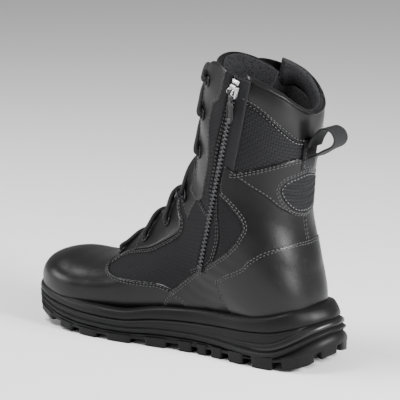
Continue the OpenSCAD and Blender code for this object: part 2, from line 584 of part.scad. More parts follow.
// A round tube along points
module tube(C, r, sides = 8) {
    n = len(C) - 1;
    T = [for (i = [0:n]) let (d = C[min(n, i + 1)] - C[max(0, i - 1)]) d / norm(d)];
    P = [for (i = [0:n]) let (a = cross(T[i], [0.3, 0.1, 1]), x = a / norm(a), y = cross(T[i], x))
         for (j = [0:sides - 1]) C[i] + r * (cos(360 * j / sides) * x + sin(360 * j / sides) * y)];
    wall = [for (i = [0:n - 1], j = [0:sides - 1]) let (k = (j + 1) % sides)
            each quad(i * sides + j, i * sides + k, (i + 1) * sides + k, (i + 1) * sides + j)];
    solid(P, concat(wall, [reversed([for (j = [0:sides - 1]) j]), [for (j = [0:sides - 1]) n * sides + j]]));
}
lace_rings = 78;
module lace() { color("#0f0f10") tube([for (i = [0:lace_rings]) lace_spot(i / lace_rings)], lace_d / 2); }
// Hard tips on the lace's two tucked ends
tip_l = 9;
module lace_tips() {
    color("#2c2c2e") for (k = [0, 1]) let (h = holder(pairs - 1, k))
        at_skin(h[0], h[1], lace_h) translate([lace_d / 2 + 0.3, 0, 0]) rotate([0, 90, 0]) cylinder(d = lace_d, h = tip_l);
}

// Pull loop on the back of the shaft, turning about the middle of its sewn fold
loop_v = 15.3;
loop_hub = skin(loop_v, 0.5, over_out - 4);
hub_r = 9.4;
patch_h = 34;
module loop_patch() {
    color("#161617") union() {
        panel([[14.75, 0.478], [14.75, 0.522]], [[15.56, 0.478], [15.56, 0.522]], over_out + 0.7, over_out + 2, 4, 6);
        intersection() {
            translate(loop_hub) rotate([90, 0, 0]) cylinder(r = hub_r, h = loop_w - 4, center = true);
            translate(loop_hub + [over_out + 2, -20, -6]) cube([20, 40, 12]);
        }
    }
}
// Outline of the loop in its side view, from the upper root round the bight to the lower root
LOOP_PATH = [[9.3, 5.7], [12, 11.5], [17.5, 16.5], [25, 18.6], [32, 16], [35, 10], [32.5, 4.5], [25.5, 0.4],
             [18, -2.4], [10.1, -4.3]];
loop_steps = 36;
function loop_side(t) = let (p = along(LOOP_PATH, t), q = along(LOOP_PATH, t + 0.01) - along(LOOP_PATH, t - 0.01))
    [p, [q[1], -q[0]] / norm(q)];
module pull_loop() {
    outline = concat([for (i = [0:loop_steps]) let (f = loop_side(i / loop_steps)) f[0] + f[1] * loop_t / 2],
                     [for (i = [loop_steps:-1:0]) let (f = loop_side(i / loop_steps)) f[0] - f[1] * loop_t / 2]);
    color("#141415") translate(loop_hub) rotate([90, 0, 0]) linear_extrude(loop_w, center = true) polygon(outline);
}

outsole();
midsole();
rand();
heel_clip();
shank();
lasting_board();
footbed();
toe_cap();
heel_stiffener();
lining_toe();
lining_waist();
lining_heel();
lining_shaft();
vamp();
quarter_medial();
quarter_lateral();
lower_eyestay_medial();
lower_eyestay_lateral();
saddle_medial();
saddle_lateral();
shaft_panel_medial();
shaft_panel_lateral();
upper_eyestay_medial();
upper_eyestay_lateral();
ankle_strap_medial();
ankle_strap_lateral();
achilles_panel();
heel_counter();
collar();
tongue();
zip_facing();
lateral_facing();
zip_gusset();
zip_tape();
zip_chain();
zip_top_stop();
zip_bottom_stop();
zip_slider();
zip_puller();
lower_eyelets();
upper_eyelets();
speed_loops();
lace();
lace_tips();
loop_patch();
pull_loop();
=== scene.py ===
import bmesh, bpy, json, math
import numpy as np
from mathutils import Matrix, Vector


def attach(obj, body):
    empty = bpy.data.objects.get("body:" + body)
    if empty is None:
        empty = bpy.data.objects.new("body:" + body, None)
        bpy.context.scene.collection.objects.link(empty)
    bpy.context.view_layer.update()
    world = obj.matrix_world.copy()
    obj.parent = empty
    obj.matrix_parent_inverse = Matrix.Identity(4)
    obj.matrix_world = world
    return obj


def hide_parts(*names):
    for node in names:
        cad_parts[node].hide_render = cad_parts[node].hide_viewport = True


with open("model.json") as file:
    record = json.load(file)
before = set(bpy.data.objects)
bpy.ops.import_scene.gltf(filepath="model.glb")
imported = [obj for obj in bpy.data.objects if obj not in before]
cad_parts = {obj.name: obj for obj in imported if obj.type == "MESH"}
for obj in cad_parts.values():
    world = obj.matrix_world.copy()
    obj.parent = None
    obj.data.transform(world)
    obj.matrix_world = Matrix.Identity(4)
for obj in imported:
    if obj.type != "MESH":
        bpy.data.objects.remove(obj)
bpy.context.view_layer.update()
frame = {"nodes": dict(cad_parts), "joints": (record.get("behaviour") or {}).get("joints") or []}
mm = 0.001
boot = "boot"

# Camera and light
view = {"turn": 37.0, "rise": 12.7, "distance": 1.8, "lens": 181.8, "sensor": 36.0,
        "aimX": 0.0052, "aimZ": 0.1283}
originShift = Vector((0.004245, 0.000485, 0))


def makeCamera(v):
    turn, rise = math.radians(v["turn"]), math.radians(v["rise"])
    back = Vector((math.sin(turn) * math.cos(rise), -math.cos(turn) * math.cos(rise), math.sin(rise)))
    aim = Vector((v["aimX"], 0, v["aimZ"])) + originShift
    cam = bpy.data.cameras.new("view")
    cam.lens, cam.sensor_width = v["lens"], v["sensor"]
    obj = bpy.data.objects.new("view", cam)
    obj.location = aim + back * v["distance"]
    obj.rotation_euler = back.to_track_quat("Z", "Y").to_euler()
    bpy.context.scene.collection.objects.link(obj)
    bpy.context.scene.camera = obj


def areaLight(name, spot, aim, size, watts):
    lamp = bpy.data.lights.new(name, "AREA")
    lamp.shape, lamp.size, lamp.energy = "DISK", size, watts
    obj = bpy.data.objects.new(name, lamp)
    obj.location = Vector(spot)
    obj.rotation_euler = (Vector(spot) - Vector(aim)).to_track_quat("Z", "Y").to_euler()
    bpy.context.scene.collection.objects.link(obj)


makeCamera(view)
print("camera set")

# Shader maths


class Sock:
    # A shader value: Python operators on it add Math nodes

    def __init__(self, mat, out):
        self.mat, self.out = mat, out

    def math(self, operation, *others):
        return self.mat.node("ShaderNodeMath", {"operation": operation}, self, *others)

    def __add__(self, o):
        return self.math("ADD", o)

    def __radd__(self, o):
        return self.math("ADD", o)

    def __sub__(self, o):
        return self.math("SUBTRACT", o)

    def __rsub__(self, o):
        return (self * -1.0) + o

    def __mul__(self, o):
        return self.math("MULTIPLY", o)

    def __rmul__(self, o):
        return self.math("MULTIPLY", o)

    def __truediv__(self, o):
        return self.math("DIVIDE", o)

    def sin(self):
        return self.math("SINE")

    def abs(self):
        return self.math("ABSOLUTE")

    def above(self, o):
        return self.math("GREATER_THAN", o)

    def top(self, o):
        return self.math("MAXIMUM", o)

    def low(self, o):
        return self.math("MINIMUM", o)

    def power(self, o):
        return self.math("POWER", o)

    def part(self):
        return self.math("FRACT")


class Finish:
    # One material, built from nodes

    def __init__(self, name, colour, rough, metal=0.0, coat=0.0, coatRough=0.2, specular=0.5):
        self.mat = bpy.data.materials.new(name)
        self.mat.use_nodes = True
        self.tree = self.mat.node_tree
        self.shader = self.tree.nodes["Principled BSDF"]
        self.set(Base_Color=(*colour, 1), Roughness=rough, Metallic=metal, Coat_Weight=coat,
                 Coat_Roughness=coatRough, Specular_IOR_Level=specular)

    def set(self, **values):
        for key, value in values.items():
            socket = self.shader.inputs[key.replace("_", " ")]
            if isinstance(value, Sock):
                self.tree.links.new(value.out, socket)
            else:
                socket.default_value = value

    def node(self, kind, settings=None, *inputs, out=0, **named):
        made = self.tree.nodes.new(kind)
        for key, value in (settings or {}).items():
            if key == "stops":
                ramp = made.color_ramp
                for k, (place, tone) in enumerate(value):
                    stop = ramp.elements[k] if k < 2 else ramp.elements.new(place)
                    stop.position, stop.color = place, (tone, tone, tone, 1)
            else:
                setattr(made, key, value)
        for key, value in list(enumerate(inputs)) + [(k.replace("_", " "), v) for k, v in named.items()]:
            if isinstance(value, Sock):
                self.tree.links.new(value.out, made.inputs[key])
            elif value is not None:
                made.inputs[key].default_value = value
        return Sock(self, made.outputs[out])

    def place(self):
        return self.node("ShaderNodeTexCoord", out="Object")

    def uv(self):
        return self.node("ShaderNodeUVMap", {"uv_map": "cut"})

    def axes(self, vector):
        return [self.node("ShaderNodeSeparateXYZ", None, vector, out=k) for k in range(3)]

    def noise(self, vector, scale, detail=3.0, rough=0.5):
        return self.node("ShaderNodeTexNoise", None, Vector=vector, Scale=scale, Detail=detail, Roughness=rough)

    def cells(self, vector, scale, feature="F1"):
        return self.node("ShaderNodeTexVoronoi", {"feature": feature}, Vector=vector, Scale=scale)

    def mixTone(self, factor, low, high):
        return self.node("ShaderNodeMix", {"data_type": "RGBA"}, factor, None, None, None, None, None,
                         (*low, 1), (*high, 1), out=2)

    def range(self, value, lowIn, highIn, lowOut, highOut):
        return self.node("ShaderNodeMapRange", None, value, lowIn, highIn, lowOut, highOut)

    def bump(self, height, depth, strength=1.0):
        self.set(Normal=self.node("ShaderNodeBump", None, Strength=strength, Distance=depth, Height=height))


# Finishes
bootLook = {"black": (0.003, 0.003, 0.0032), "grainSize": 900.0, "grainDepth": 0.00012,
            "rubber": (0.0048, 0.0048, 0.0051), "steel": (0.5, 0.5, 0.51),
            "gunmetal": (0.03, 0.03, 0.032), "tooth": (0.05, 0.05, 0.052), "thread": (0.05, 0.05, 0.051)}


def tinted(colour, share):
    return tuple(c * share for c in colour)


def leather(name, tint=1.0, rough=0.33, grain=1.0, coat=0.08):
    f = Finish(name, bootLook["black"], rough, coat=coat, coatRough=0.3, specular=0.2)
    spot = f.place()
    pores = f.cells(spot, bootLook["grainSize"] / grain, "DISTANCE_TO_EDGE")
    fine = f.noise(spot, 2600.0, 4.0)
    folds = f.noise(spot, 60.0, 5.0, 0.6)
    scuffs = f.range(f.noise(spot, 240.0, 8.0, 0.7), 0.56, 0.74, 0.0, 1.0)
    low = tinted(bootLook["black"], tint)
    f.set(Base_Color=f.mixTone(folds * 0.5 + scuffs * 0.35, low, tinted(low, 2.1)),
          Roughness=rough - 0.05 + folds * 0.12 + scuffs * 0.16)
    height = f.range(pores, 0.0, 0.35, 0.0, 1.0) * 0.55 + fine * 0.45 + folds * 1.6
    f.bump(height, bootLook["grainDepth"] * grain, 0.55)
    return f.mat


def nylon(name, pitch=0.0023, depth=0.0003, rough=0.55):
    # Basket weave: warp and weft crowns are half sine waves, and a checker says which one lies on top
    f = Finish(name, bootLook["black"], rough, specular=0.08)
    along, across = f.axes(f.uv())[:2]
    warp, weft = along * (math.pi / pitch), across * (math.pi / pitch)
    over = (warp.sin() * weft.sin()).above(0.0)
    crown = over * warp.sin().abs() + (1 - over) * weft.sin().abs()
    slub = f.noise(f.place(), 420.0, 5.0, 0.65)
    # The colour is painted lighter on the thread crowns, a painted highlight on the weave, mixed with random
    # slub tone
    f.set(Base_Color=f.mixTone(crown * 0.55 + slub * 0.5, (0.002, 0.002, 0.0022), (0.02, 0.02, 0.0215)),
          Roughness=rough + 0.18 - crown * 0.16 + slub * 0.1)
    f.bump(crown + slub * 0.4, depth, 0.8)
    return f.mat


def webbing(name, pitch=0.0011):
    # Ribs run along the tape and bend aside in a herringbone
    f = Finish(name, bootLook["black"], 0.6, specular=0.1)
    along, across = f.axes(f.uv())[:2]
    lean = (across * (1 / (4 * pitch))).part() - 0.5
    ribs = ((along + lean.abs() * (4 * pitch)) * (math.pi * 2 / pitch)).sin()
    cross = (across * (math.pi * 2 / pitch)).sin()
    fuzz = f.noise(f.place(), 1500.0, 4.0)
    f.set(Base_Color=f.mixTone(ribs * 0.22 + 0.25 + fuzz * 0.4, (0.006, 0.006, 0.0065), (0.03, 0.03, 0.032)),
          Roughness=0.52 + fuzz * 0.2)
    f.bump(ribs * 0.6 + cross * 0.35 + fuzz * 0.3, 0.0002, 0.7)
    return f.mat


def knit(name, colour=(0.016, 0.016, 0.017)):
    # Air mesh lining: round open cells over a soft ground
    f = Finish(name, colour, 0.85, specular=0.06)
    spot = f.place()
    holes = f.range(f.cells(spot, 520.0), 0.12, 0.45, 0.0, 1.0)
    fuzz = f.noise(spot, 900.0, 4.0)
    f.set(Base_Color=f.mixTone(holes * 0.7 + fuzz * 0.3, (0.005, 0.005, 0.005), (0.03, 0.03, 0.032)),
          Roughness=0.75 + fuzz * 0.2)
    f.bump(holes + fuzz * 0.5, 0.0003, 0.8)
    return f.mat


def rubber(name, rough=0.46, tone=1.0):
    f = Finish(name, bootLook["rubber"], rough, specular=0.14)
    spot = f.place()
    grit = f.noise(spot, 1700.0, 4.0)
    haze = f.noise(spot, 45.0, 5.0, 0.6)
    rub = f.range(f.noise(spot, 130.0, 9.0, 0.75), 0.55, 0.78, 0.0, 1.0)
    low = tinted(bootLook["rubber"], tone)
    f.set(Base_Color=f.mixTone(haze * 0.45 + rub * 0.4, low, tinted(low, 2.2)),
          Roughness=rough - 0.04 + haze * 0.12 + rub * 0.14)
    f.bump(grit * 0.8 + haze * 1.2, 0.0001, 0.5)
    return f.mat


def thread(name, tone=1.0):
    low = tinted(bootLook["thread"], tone)
    f = Finish(name, low, 0.45, specular=0.25)
    along = f.axes(f.place())[2]
    twist = ((along + f.noise(f.place(), 300.0) * 0.002) * 9000.0).sin()
    f.set(Base_Color=f.mixTone(twist * 0.3 + 0.4, tinted(low, 0.6), tinted(low, 1.5)),
          Roughness=0.42 + twist * 0.08)
    f.bump(twist, 0.00006, 0.6)
    return f.mat


def braid(name, pitch=0.0022):
    # Two families of strands wind round the cord, along and around being its own map in metres and turns
    f = Finish(name, bootLook["black"], 0.55, specular=0.1)
    along, around = f.axes(f.uv())[:2]
    left = (along * (math.pi / pitch) + around * (math.pi * 4)).sin()
    right = (along * (math.pi / pitch) - around * (math.pi * 4)).sin()
    crown = left.abs().top(right.abs())
    fuzz = f.noise(f.place(), 1600.0, 4.0)
    f.set(Base_Color=f.mixTone(crown * 0.6 + fuzz * 0.35 - 0.2, (0.005, 0.005, 0.005), (0.04, 0.04, 0.042)),
          Roughness=0.7 - crown * 0.15 + fuzz * 0.1)
    f.bump(crown + fuzz * 0.3, 0.0003, 0.8)
    return f.mat


def metal(name, colour, rough=0.24, wear=0.3):
    f = Finish(name, colour, rough, metal=1.0)
    spot = f.place()
    cast = f.noise(spot, 700.0, 5.0, 0.6)
    marks = f.range(f.noise(spot, 260.0, 8.0, 0.7), 0.5, 0.7, 0.0, 1.0)
    f.set(Base_Color=f.mixTone(marks * wear + cast * 0.3, colour, tinted(colour, 0.55)),
          Roughness=rough + cast * 0.12 + marks * 0.18)
    f.bump(cast + marks * 0.6, 0.00005, 0.6)
    return f.mat


def plastic(name, rough=0.35, tone=1.0):
    f = Finish(name, tinted(bootLook["rubber"], tone), rough, specular=0.3)
    spot = f.place()
    skin = f.noise(spot, 1400.0, 3.0)
    flow = f.noise(spot, 80.0, 4.0)
    low = tinted(bootLook["rubber"], tone)
    f.set(Base_Color=f.mixTone(flow * 0.7, low, tinted(low, 1.8)), Roughness=rough - 0.05 + flow * 0.15)
    f.bump(skin + flow, 0.00005, 0.5)
    return f.mat


def board(name):
    # Pressed fibre board: short brown fibres in a grey ground
    f = Finish(name, (0.2, 0.16, 0.12), 0.85, specular=0.3)
    spot = f.place()
    fibre = f.noise(spot, 500.0, 8.0, 0.75)
    f.set(Base_Color=f.mixTone(fibre, (0.13, 0.1, 0.075), (0.33, 0.27, 0.2)), Roughness=0.75 + fibre * 0.2)
    f.bump(fibre, 0.0002, 0.6)
    return f.mat


smoothLeather = leather("smoothLeather")
counterLeather = leather("counterLeather", 1.15, 0.33, coat=0.12)
softLeather = leather("softCollarLeather", 1.25, 0.31, 0.8, coat=0.16)
ballisticNylon = nylon("ballisticNylon")
tongueNylon = nylon("tongueNylon", 0.0015, 0.0003, 0.6)
tapeWebbing = webbing("tapeWebbing")
liningMesh = knit("liningMesh")
footbedCloth = knit("footbedCloth", (0.02, 0.02, 0.021))
soleRubber = rubber("soleRubber")
midsoleRubber = rubber("midsoleFoam", 0.5, 1.15)
randRubber = rubber("randRubber", 0.42, 1.05)
blackThread = thread("blackThread")
shinyThread = thread("shinyThread", 2.2)
laceBraid = braid("laceBraid")
brightMetal = metal("brightMetal", bootLook["steel"])
darkMetal = metal("darkMetal", bootLook["gunmetal"], 0.3)
hardPlastic = plastic("hardPlastic")
fibreBoard = board("fibreBoard")
steelShank = metal("shankSteel", (0.4, 0.41, 0.43), 0.35)
print("finishes made")

# Mesh helpers


def gridFaces(rows, cols, loopRows=False, loopCols=False):
    # Quads of a grid of points held row by row, wrapped round where a loop is asked for
    r, c = np.meshgrid(np.arange(rows if loopRows else rows - 1), np.arange(cols if loopCols else cols - 1),
                       indexing="ij")
    r2, c2 = (r + 1) % rows, (c + 1) % cols
    quads = np.stack([r * cols + c, r * cols + c2, r2 * cols + c2, r2 * cols + c], -1)
    return quads.reshape(-1, 4).tolist()


def makePiece(name, verts, faces, finish, replaces=(), body=boot, uv=None, shade=True, weld=0.0,
              kinds=None):
    # Puts worked-out points into a mesh, in place, hangs it on the empty of the body it rides and hides the CAD
    # parts it replaces
    mesh = bpy.data.meshes.new(name)
    mesh.from_pydata((np.asarray(verts, float) * mm).tolist(), [], faces)
    for one in (finish if isinstance(finish, (list, tuple)) else [finish]):
        mesh.materials.append(one)
    corner = np.zeros(len(mesh.loops), np.int32)
    mesh.loops.foreach_get("vertex_index", corner)
    if uv is not None:
        layer = mesh.uv_layers.new(name="cut")
        layer.data.foreach_set("uv", (np.asarray(uv, float) * mm)[corner].astype(np.float32).ravel())
    if kinds is not None:
        mesh.polygons.foreach_set("material_index", np.asarray(kinds, np.int32))
    if shade:
        mesh.polygons.foreach_set("use_smooth", np.ones(len(mesh.polygons), bool))
    if weld:
        bm = bmesh.new()
        bm.from_mesh(mesh)
        bmesh.ops.remove_doubles(bm, verts=bm.verts, dist=weld * mm)
        bmesh.ops.dissolve_degenerate(bm, dist=1e-7, edges=bm.edges)
        bmesh.ops.recalc_face_normals(bm, faces=bm.faces)
        bm.to_mesh(mesh)
        bm.free()
    mesh.update()
    obj = bpy.data.objects.new(name, mesh)
    bpy.context.scene.collection.objects.link(obj)
    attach(obj, body)
    if replaces:
        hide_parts(*replaces)
    return obj


def join(parts):
    # Several (points, faces) lists as one
    verts, faces, count = [], [], 0
    for points, quads in parts:
        points = np.asarray(points, float).reshape(-1, 3)
        verts.append(points)
        faces += [[i + count for i in q] for q in quads]
        count += len(points)
    return np.vstack(verts), faces


def spline(rows, t):
    # Catmull-Rom curve through the rows, with one more row in a straight line past each end
    rows = np.asarray(rows, float)
    far = np.vstack([2 * rows[0] - rows[1], rows, 2 * rows[-1] - rows[-2]])
    t = np.asarray(t, float)
    k = np.clip(np.floor(t).astype(int), 0, len(rows) - 2)
    f = (t - k)[..., None]
    p, q, r, s = (far[k + i] for i in range(4))
    return 0.5 * (2 * q + (r - p) * f + (2 * p - 5 * q + 4 * r - s) * f ** 2 + (3 * q - 3 * r + s - p) * f ** 3)


def line(points, count=60):
    return spline(points, np.linspace(0, len(points) - 1, count))


def circle(count):
    return np.linspace(0, 2 * np.pi, count, endpoint=False)


def squared(k, power):
    # Cosine and sine with their corners pushed out, for a rounded rectangle
    return tuple(np.sign(wave(k)) * np.abs(wave(k)) ** power for wave in (np.cos, np.sin))


def runOf(path):
    # How far along a path each of its points lies
    return np.concatenate([[0], np.cumsum(np.linalg.norm(np.diff(path, axis=0), axis=-1))])


def spotsAt(at, run, path):
    return np.stack([np.interp(at, run, path[:, k]) for k in range(3)], -1)


def pairs(u, v):
    # Two coordinates spread over a grid and listed as points of a flat map
    return np.stack(np.broadcast_arrays(u, v), -1).reshape(-1, 2)


def unit(vectors):
    # Vectors brought to length one
    return vectors / np.maximum(np.linalg.norm(vectors, axis=-1, keepdims=True), 1e-9)


def loft(rings):
    # A skin over rings of equal length, with a flat face at each end
    rings = np.asarray(rings, float)
    rows, cols = rings.shape[:2]
    faces = gridFaces(rows, cols, loopCols=True)
    faces += [list(range(cols))[::-1], list(range((rows - 1) * cols, rows * cols))]
    return rings.reshape(-1, 3), faces


def tube(path, wide, thick, sides, up):
    # An oval carried along a path; up is each point's outward direction
    path = np.asarray(path, float)
    run = unit(np.gradient(path, axis=0))
    out = unit(up - (up * run).sum(-1, keepdims=True) * run)
    side = np.cross(run, out)
    turn = circle(sides)[None, :, None]
    rings = path[:, None] + side[:, None] * np.cos(turn) * wide / 2 + out[:, None] * np.sin(turn) * thick / 2
    return loft(rings)


def shell(top, low):
    # A closed leaf between two grids of points
    return outward(*loft(np.concatenate([top, low[:, ::-1]], 1)))


def outward(points, faces):
    # Turns a closed shell the right way: its signed volume has to be above zero
    p = np.asarray(points)
    flat = np.array([(f[0], f[i], f[i + 1]) for f in faces for i in range(1, len(f) - 1)])
    volume = (p[flat[:, 0]] * np.cross(p[flat[:, 1]], p[flat[:, 2]])).sum()
    return points, faces if volume > 0 else [f[::-1] for f in faces]


# The last: toe -X, medial -Y, millimetres
# Each row: front rail x, z; back rail x, z; half width medial, lateral; centre y; squareness front, back
lastRows = np.array([
    [-160, 43, -160, 41, 5, 5, -8, 2.0, 2.0], [-156, 53, -156, 29, 19, 18, -8, 2.2, 2.4],
    [-147, 62, -147, 23, 31, 32, -7, 2.3, 2.6], [-131, 66, -131, 20, 41, 42, -6, 2.3, 2.8],
    [-111, 65, -111, 18, 47, 49, -4, 2.2, 3.0], [-90, 66, -85, 17, 48, 52, -2, 2.1, 3.0],
    [-69, 73, -55, 18, 46, 51, -1, 1.9, 3.0], [-49, 88, -20, 21, 43, 48, 0, 1.8, 3.0],
    [-31, 105, 22, 26, 40, 44, 0, 1.8, 3.0], [-14, 124, 66, 28, 40, 41, 0, 1.8, 3.0],
    [-1, 144, 106, 29, 45, 41, 0, 1.8, 3.0], [6, 164, 132, 46, 47, 41, 0, 1.7, 2.5],
    [9, 184, 127, 84, 48, 42, 0, 1.6, 2.2], [11, 203, 118, 120, 47, 44, 0, 1.5, 2.1],
    [12, 220, 116, 150, 47, 45, 0, 1.5, 2.1], [14.5, 236, 120, 179, 47, 46, 0, 1.5, 2.1],
    [16.5, 251, 124, 205, 48, 46, 0, 1.5, 2.1], [19.5, 266, 127, 230, 48, 46, 0, 1.5, 2.1],
    [23, 281, 130, 255, 48, 46, 0, 1.5, 2.1]])
shift = np.array([4.245, 0.485, 0.0])


def ease(t):
    t = np.clip(t, 0, 1)
    return t * t * (3 - 2 * t)


# Laced up, the instep stands proud along its middle: height, half width in turns, rows where it starts and ends
instep = {"high": 6.8, "wide": 0.085, "from": 5.5, "to": 11.9}


def lastAt(v, a):
    # A ring is a squared ellipse across the two rails; a runs once round it from the front over the medial side
    v, a = np.broadcast_arrays(np.asarray(v, float), np.asarray(a, float))
    row = spline(lastRows, v)
    c, w = np.cos(2 * np.pi * a), np.sin(2 * np.pi * a)
    n = np.where(c > 0, row[..., 7], row[..., 8])
    k = (np.abs(c) ** n + np.abs(w) ** n) ** (-1 / n)
    m = (1 - c * k) / 2
    half = np.where(w > 0, row[..., 4], row[..., 5])
    ridge = (instep["high"] * ease((v - instep["from"]) / 0.9) * ease((instep["to"] - v) / 1.6)
             * np.exp(-((a - np.round(a)) / instep["wide"]) ** 2))
    steep = ease((v - 7.5) / 3.5)
    return np.stack([row[..., 0] + (row[..., 2] - row[..., 0]) * m - ridge * (0.68 + 0.27 * steep),
                     row[..., 6] - w * k * half,
                     row[..., 1] + (row[..., 3] - row[..., 1]) * m + ridge * (0.73 - 0.4 * steep)], -1) + shift


def slopes(v, a):
    # How the skin moves for one step of v and for one turn of a
    v, a = np.broadcast_arrays(np.asarray(v, float), np.asarray(a, float))
    return ((lastAt(v + 0.02, a) - lastAt(v - 0.02, a)) / 0.04,
            (lastAt(v, a + 0.001) - lastAt(v, a - 0.001)) / 0.002)


def outwardAt(v, a):
    up, turnWay = slopes(v, a)
    return unit(np.cross(turnWay, up))


def skin(v, a, d=0.0):
    # The last, moved d outwards along its own normal
    v, a, d = np.broadcast_arrays(np.asarray(v, float), np.asarray(a, float), np.asarray(d, float))
    return lastAt(v, a) + outwardAt(v, a) * d[..., None]


def ripple(p, size, seed=0.0):
    # Soft uneven waves from -1 to 1: sines crossing at odd angles
    x, y, z = (p[..., k] / size for k in range(3))
    return (np.sin(x * 1.7 + y * 0.6 + z * 2.3 + seed) + np.sin(y * 2.1 - x * 0.8 + z * 0.9 + seed * 2.3)
            + np.sin(z * 1.3 - y * 1.1 - x * 1.9 + seed * 3.1)) / 3


def shapeOf(curves, side="medial", count=70):
    # An outline on the last from smooth curves that meet at corners
    flat = np.vstack([line(c, count)[:-1] if len(c) > 2 else line(c, count // 2)[:-1] for c in curves])
    if side == "lateral":
        flat = np.column_stack([flat[:, 0], 1 - flat[:, 1]])[::-1]
    return flat


def nearest(points, samples):
    # Distance to the nearest sample, and which it is
    batches = np.array_split(points, len(points) // 800 + 1)
    found = [((part[:, None] - samples[None]) ** 2).sum(-1) for part in batches]
    which = np.concatenate([f.argmin(1) for f in found])
    return np.sqrt(np.concatenate([f.min(1) for f in found])), which


def within(flat, outline):
    # Even-odd test of points against a closed outline
    x, y = flat[:, :1], flat[:, 1:]
    x1, y1 = outline[:, 0], outline[:, 1]
    x2, y2 = np.roll(x1, -1), np.roll(y1, -1)
    span = np.where(y1 == y2, 1e-12, y2 - y1)
    crossed = ((y1 > y) != (y2 > y)) & (x < (x2 - x1) * (y - y1) / span + x1)
    return crossed.sum(1) % 2 == 1


def cutPanel(outline, lift=0.6, thick=1.3, cell=1.5, roll=0.9, puff=0.0, relief=None):
    # A grid over the last is trimmed to the outline: border points move on to it, the edge rolls over
    # in a quarter circle, and an underside and a rim close it
    low, high = outline.min(0), outline.max(0)
    up, turnWay = slopes(*np.meshgrid(np.linspace(low[0], high[0], 9), np.linspace(low[1], high[1], 9)))
    steps = [int(np.ceil((high[k] - low[k]) * np.linalg.norm(s, axis=-1).mean() / cell))
             for k, s in enumerate((up, turnWay))]
    ticks = [np.linspace(low[k], high[k], steps[k] + 1) for k in (0, 1)]
    grid = np.stack(np.meshgrid(*ticks, indexing="ij"), -1)
    middle = (grid[:-1, :-1] + grid[1:, 1:]) / 2
    keep = within(middle.reshape(-1, 2), outline)
    quads = np.array(gridFaces(steps[0] + 1, steps[1] + 1))[keep]
    used, quads = np.unique(quads, return_inverse=True)
    quads = quads.reshape(-1, 4)
    flat = grid.reshape(-1, 2)[used]
    ends = np.stack([quads, np.roll(quads, -1, 1)], -1).reshape(-1, 2)
    key = np.sort(ends, 1) @ np.array([len(used), 1])
    where, counts = np.unique(key, return_inverse=True, return_counts=True)[1:]
    border = ends[counts[where] == 1]
    edge = lastAt(outline[:, 0], outline[:, 1])
    rim = np.unique(border)
    flat[rim] = outline[nearest(lastAt(flat[rim, 0], flat[rim, 1]), edge)[1]]
    base = lastAt(flat[:, 0], flat[:, 1])
    normal = outwardAt(flat[:, 0], flat[:, 1])
    gap = nearest(base, edge)[0]
    gap[rim] = 0
    d = lift - roll * (1 - np.sqrt(1 - (1 - np.clip(gap / roll, 0, 1)) ** 2)) + puff * (1 - np.exp(-gap / 7))
    if relief is not None:
        d = d + relief(base, flat, gap)
    top, under = base + normal * d[:, None], base + normal * (lift - thick)
    n = len(top)
    faces = quads[:, ::-1].tolist() + (quads + n).tolist()
    faces += np.column_stack([border[:, 0], border[:, 1], border[:, 1] + n, border[:, 0] + n]).tolist()
    return np.vstack([top, under]), faces, np.tile(clothMap(flat), (2, 1))


def clothMap(flat):
    # How far round the ring and how far up the side a point lies, in millimetres
    around = np.linspace(0, 1, 241)
    rings = np.linspace(0, 18, 73)
    v, a = np.meshgrid(rings, around, indexing="ij")
    points = lastAt(v, a)
    stretch = np.linalg.norm(np.diff(points, axis=1), axis=-1)
    length = np.concatenate([np.zeros((73, 1)), np.cumsum(stretch, 1)], 1)
    rise = runOf(points[:, 60])
    turn = flat[:, 1] - np.floor(flat[:, 1])
    r, c = np.clip(flat[:, 0] * 4, 0, 71.999), np.clip(turn * 240, 0, 239.999)
    i, j = r.astype(int), c.astype(int)
    fr, fc = r - i, c - j
    u = ((length[i, j] * (1 - fc) + length[i, j + 1] * fc) * (1 - fr)
         + (length[i + 1, j] * (1 - fc) + length[i + 1, j + 1] * fc) * fr)
    return np.column_stack([u + np.floor(flat[:, 1]) * 300, np.interp(r, np.arange(73), rise)])


def shellMap(v, a):
    # The cloth map of a leaf's two grids, as shell orders them
    flat = np.stack([v, a], -1)
    return clothMap(np.concatenate([flat, flat[:, ::-1]], 1).reshape(-1, 2))


def inset(curve, gap):
    # The curve moved sideways over the skin by gap millimetres, to the left of its run seen from outside
    v, a = curve[:, 0], curve[:, 1]
    up, turnWay = slopes(v, a)
    step = np.gradient(curve, axis=0)
    run = unit(up * step[:, :1] + turnWay * step[:, 1:])
    side = np.cross(outwardAt(v, a), run) * gap
    e, f, g = (up * up).sum(-1), (up * turnWay).sum(-1), (turnWay * turnWay).sum(-1)
    p, q = (side * up).sum(-1), (side * turnWay).sum(-1)
    det = e * g - f * f
    return curve + np.stack([(p * g - q * f) / det, (q * e - p * f) / det], -1)


stitchLook = {"pitch": 3.5, "long": 2.4, "thick": 1.0, "sides": 6}
stitchList = {"plain": [], "bright": []}


def stitches(curve, lift, kind="plain", pitch=None):
    # Short threads end to end along a curve on the last, each a spindle that dips in at both ends
    pitch = pitch or stitchLook["pitch"]
    fine = skin(*curve.T, lift)
    fine = fine + outwardAt(*curve.T) * rise(fine)[:, None]
    far = runOf(fine)
    count = max(1, int(far[-1] / pitch))
    at = (np.arange(count) + 0.5) * far[-1] / count
    v, a = (np.interp(at, far, curve[:, k]) for k in (0, 1))
    centre = spotsAt(at, far, fine)
    run = unit(spotsAt(at + 0.3, far, fine) - spotsAt(at - 0.3, far, fine))
    out = outwardAt(v, a)
    stitchList[kind].append((centre, run, out, np.cross(out, run)))


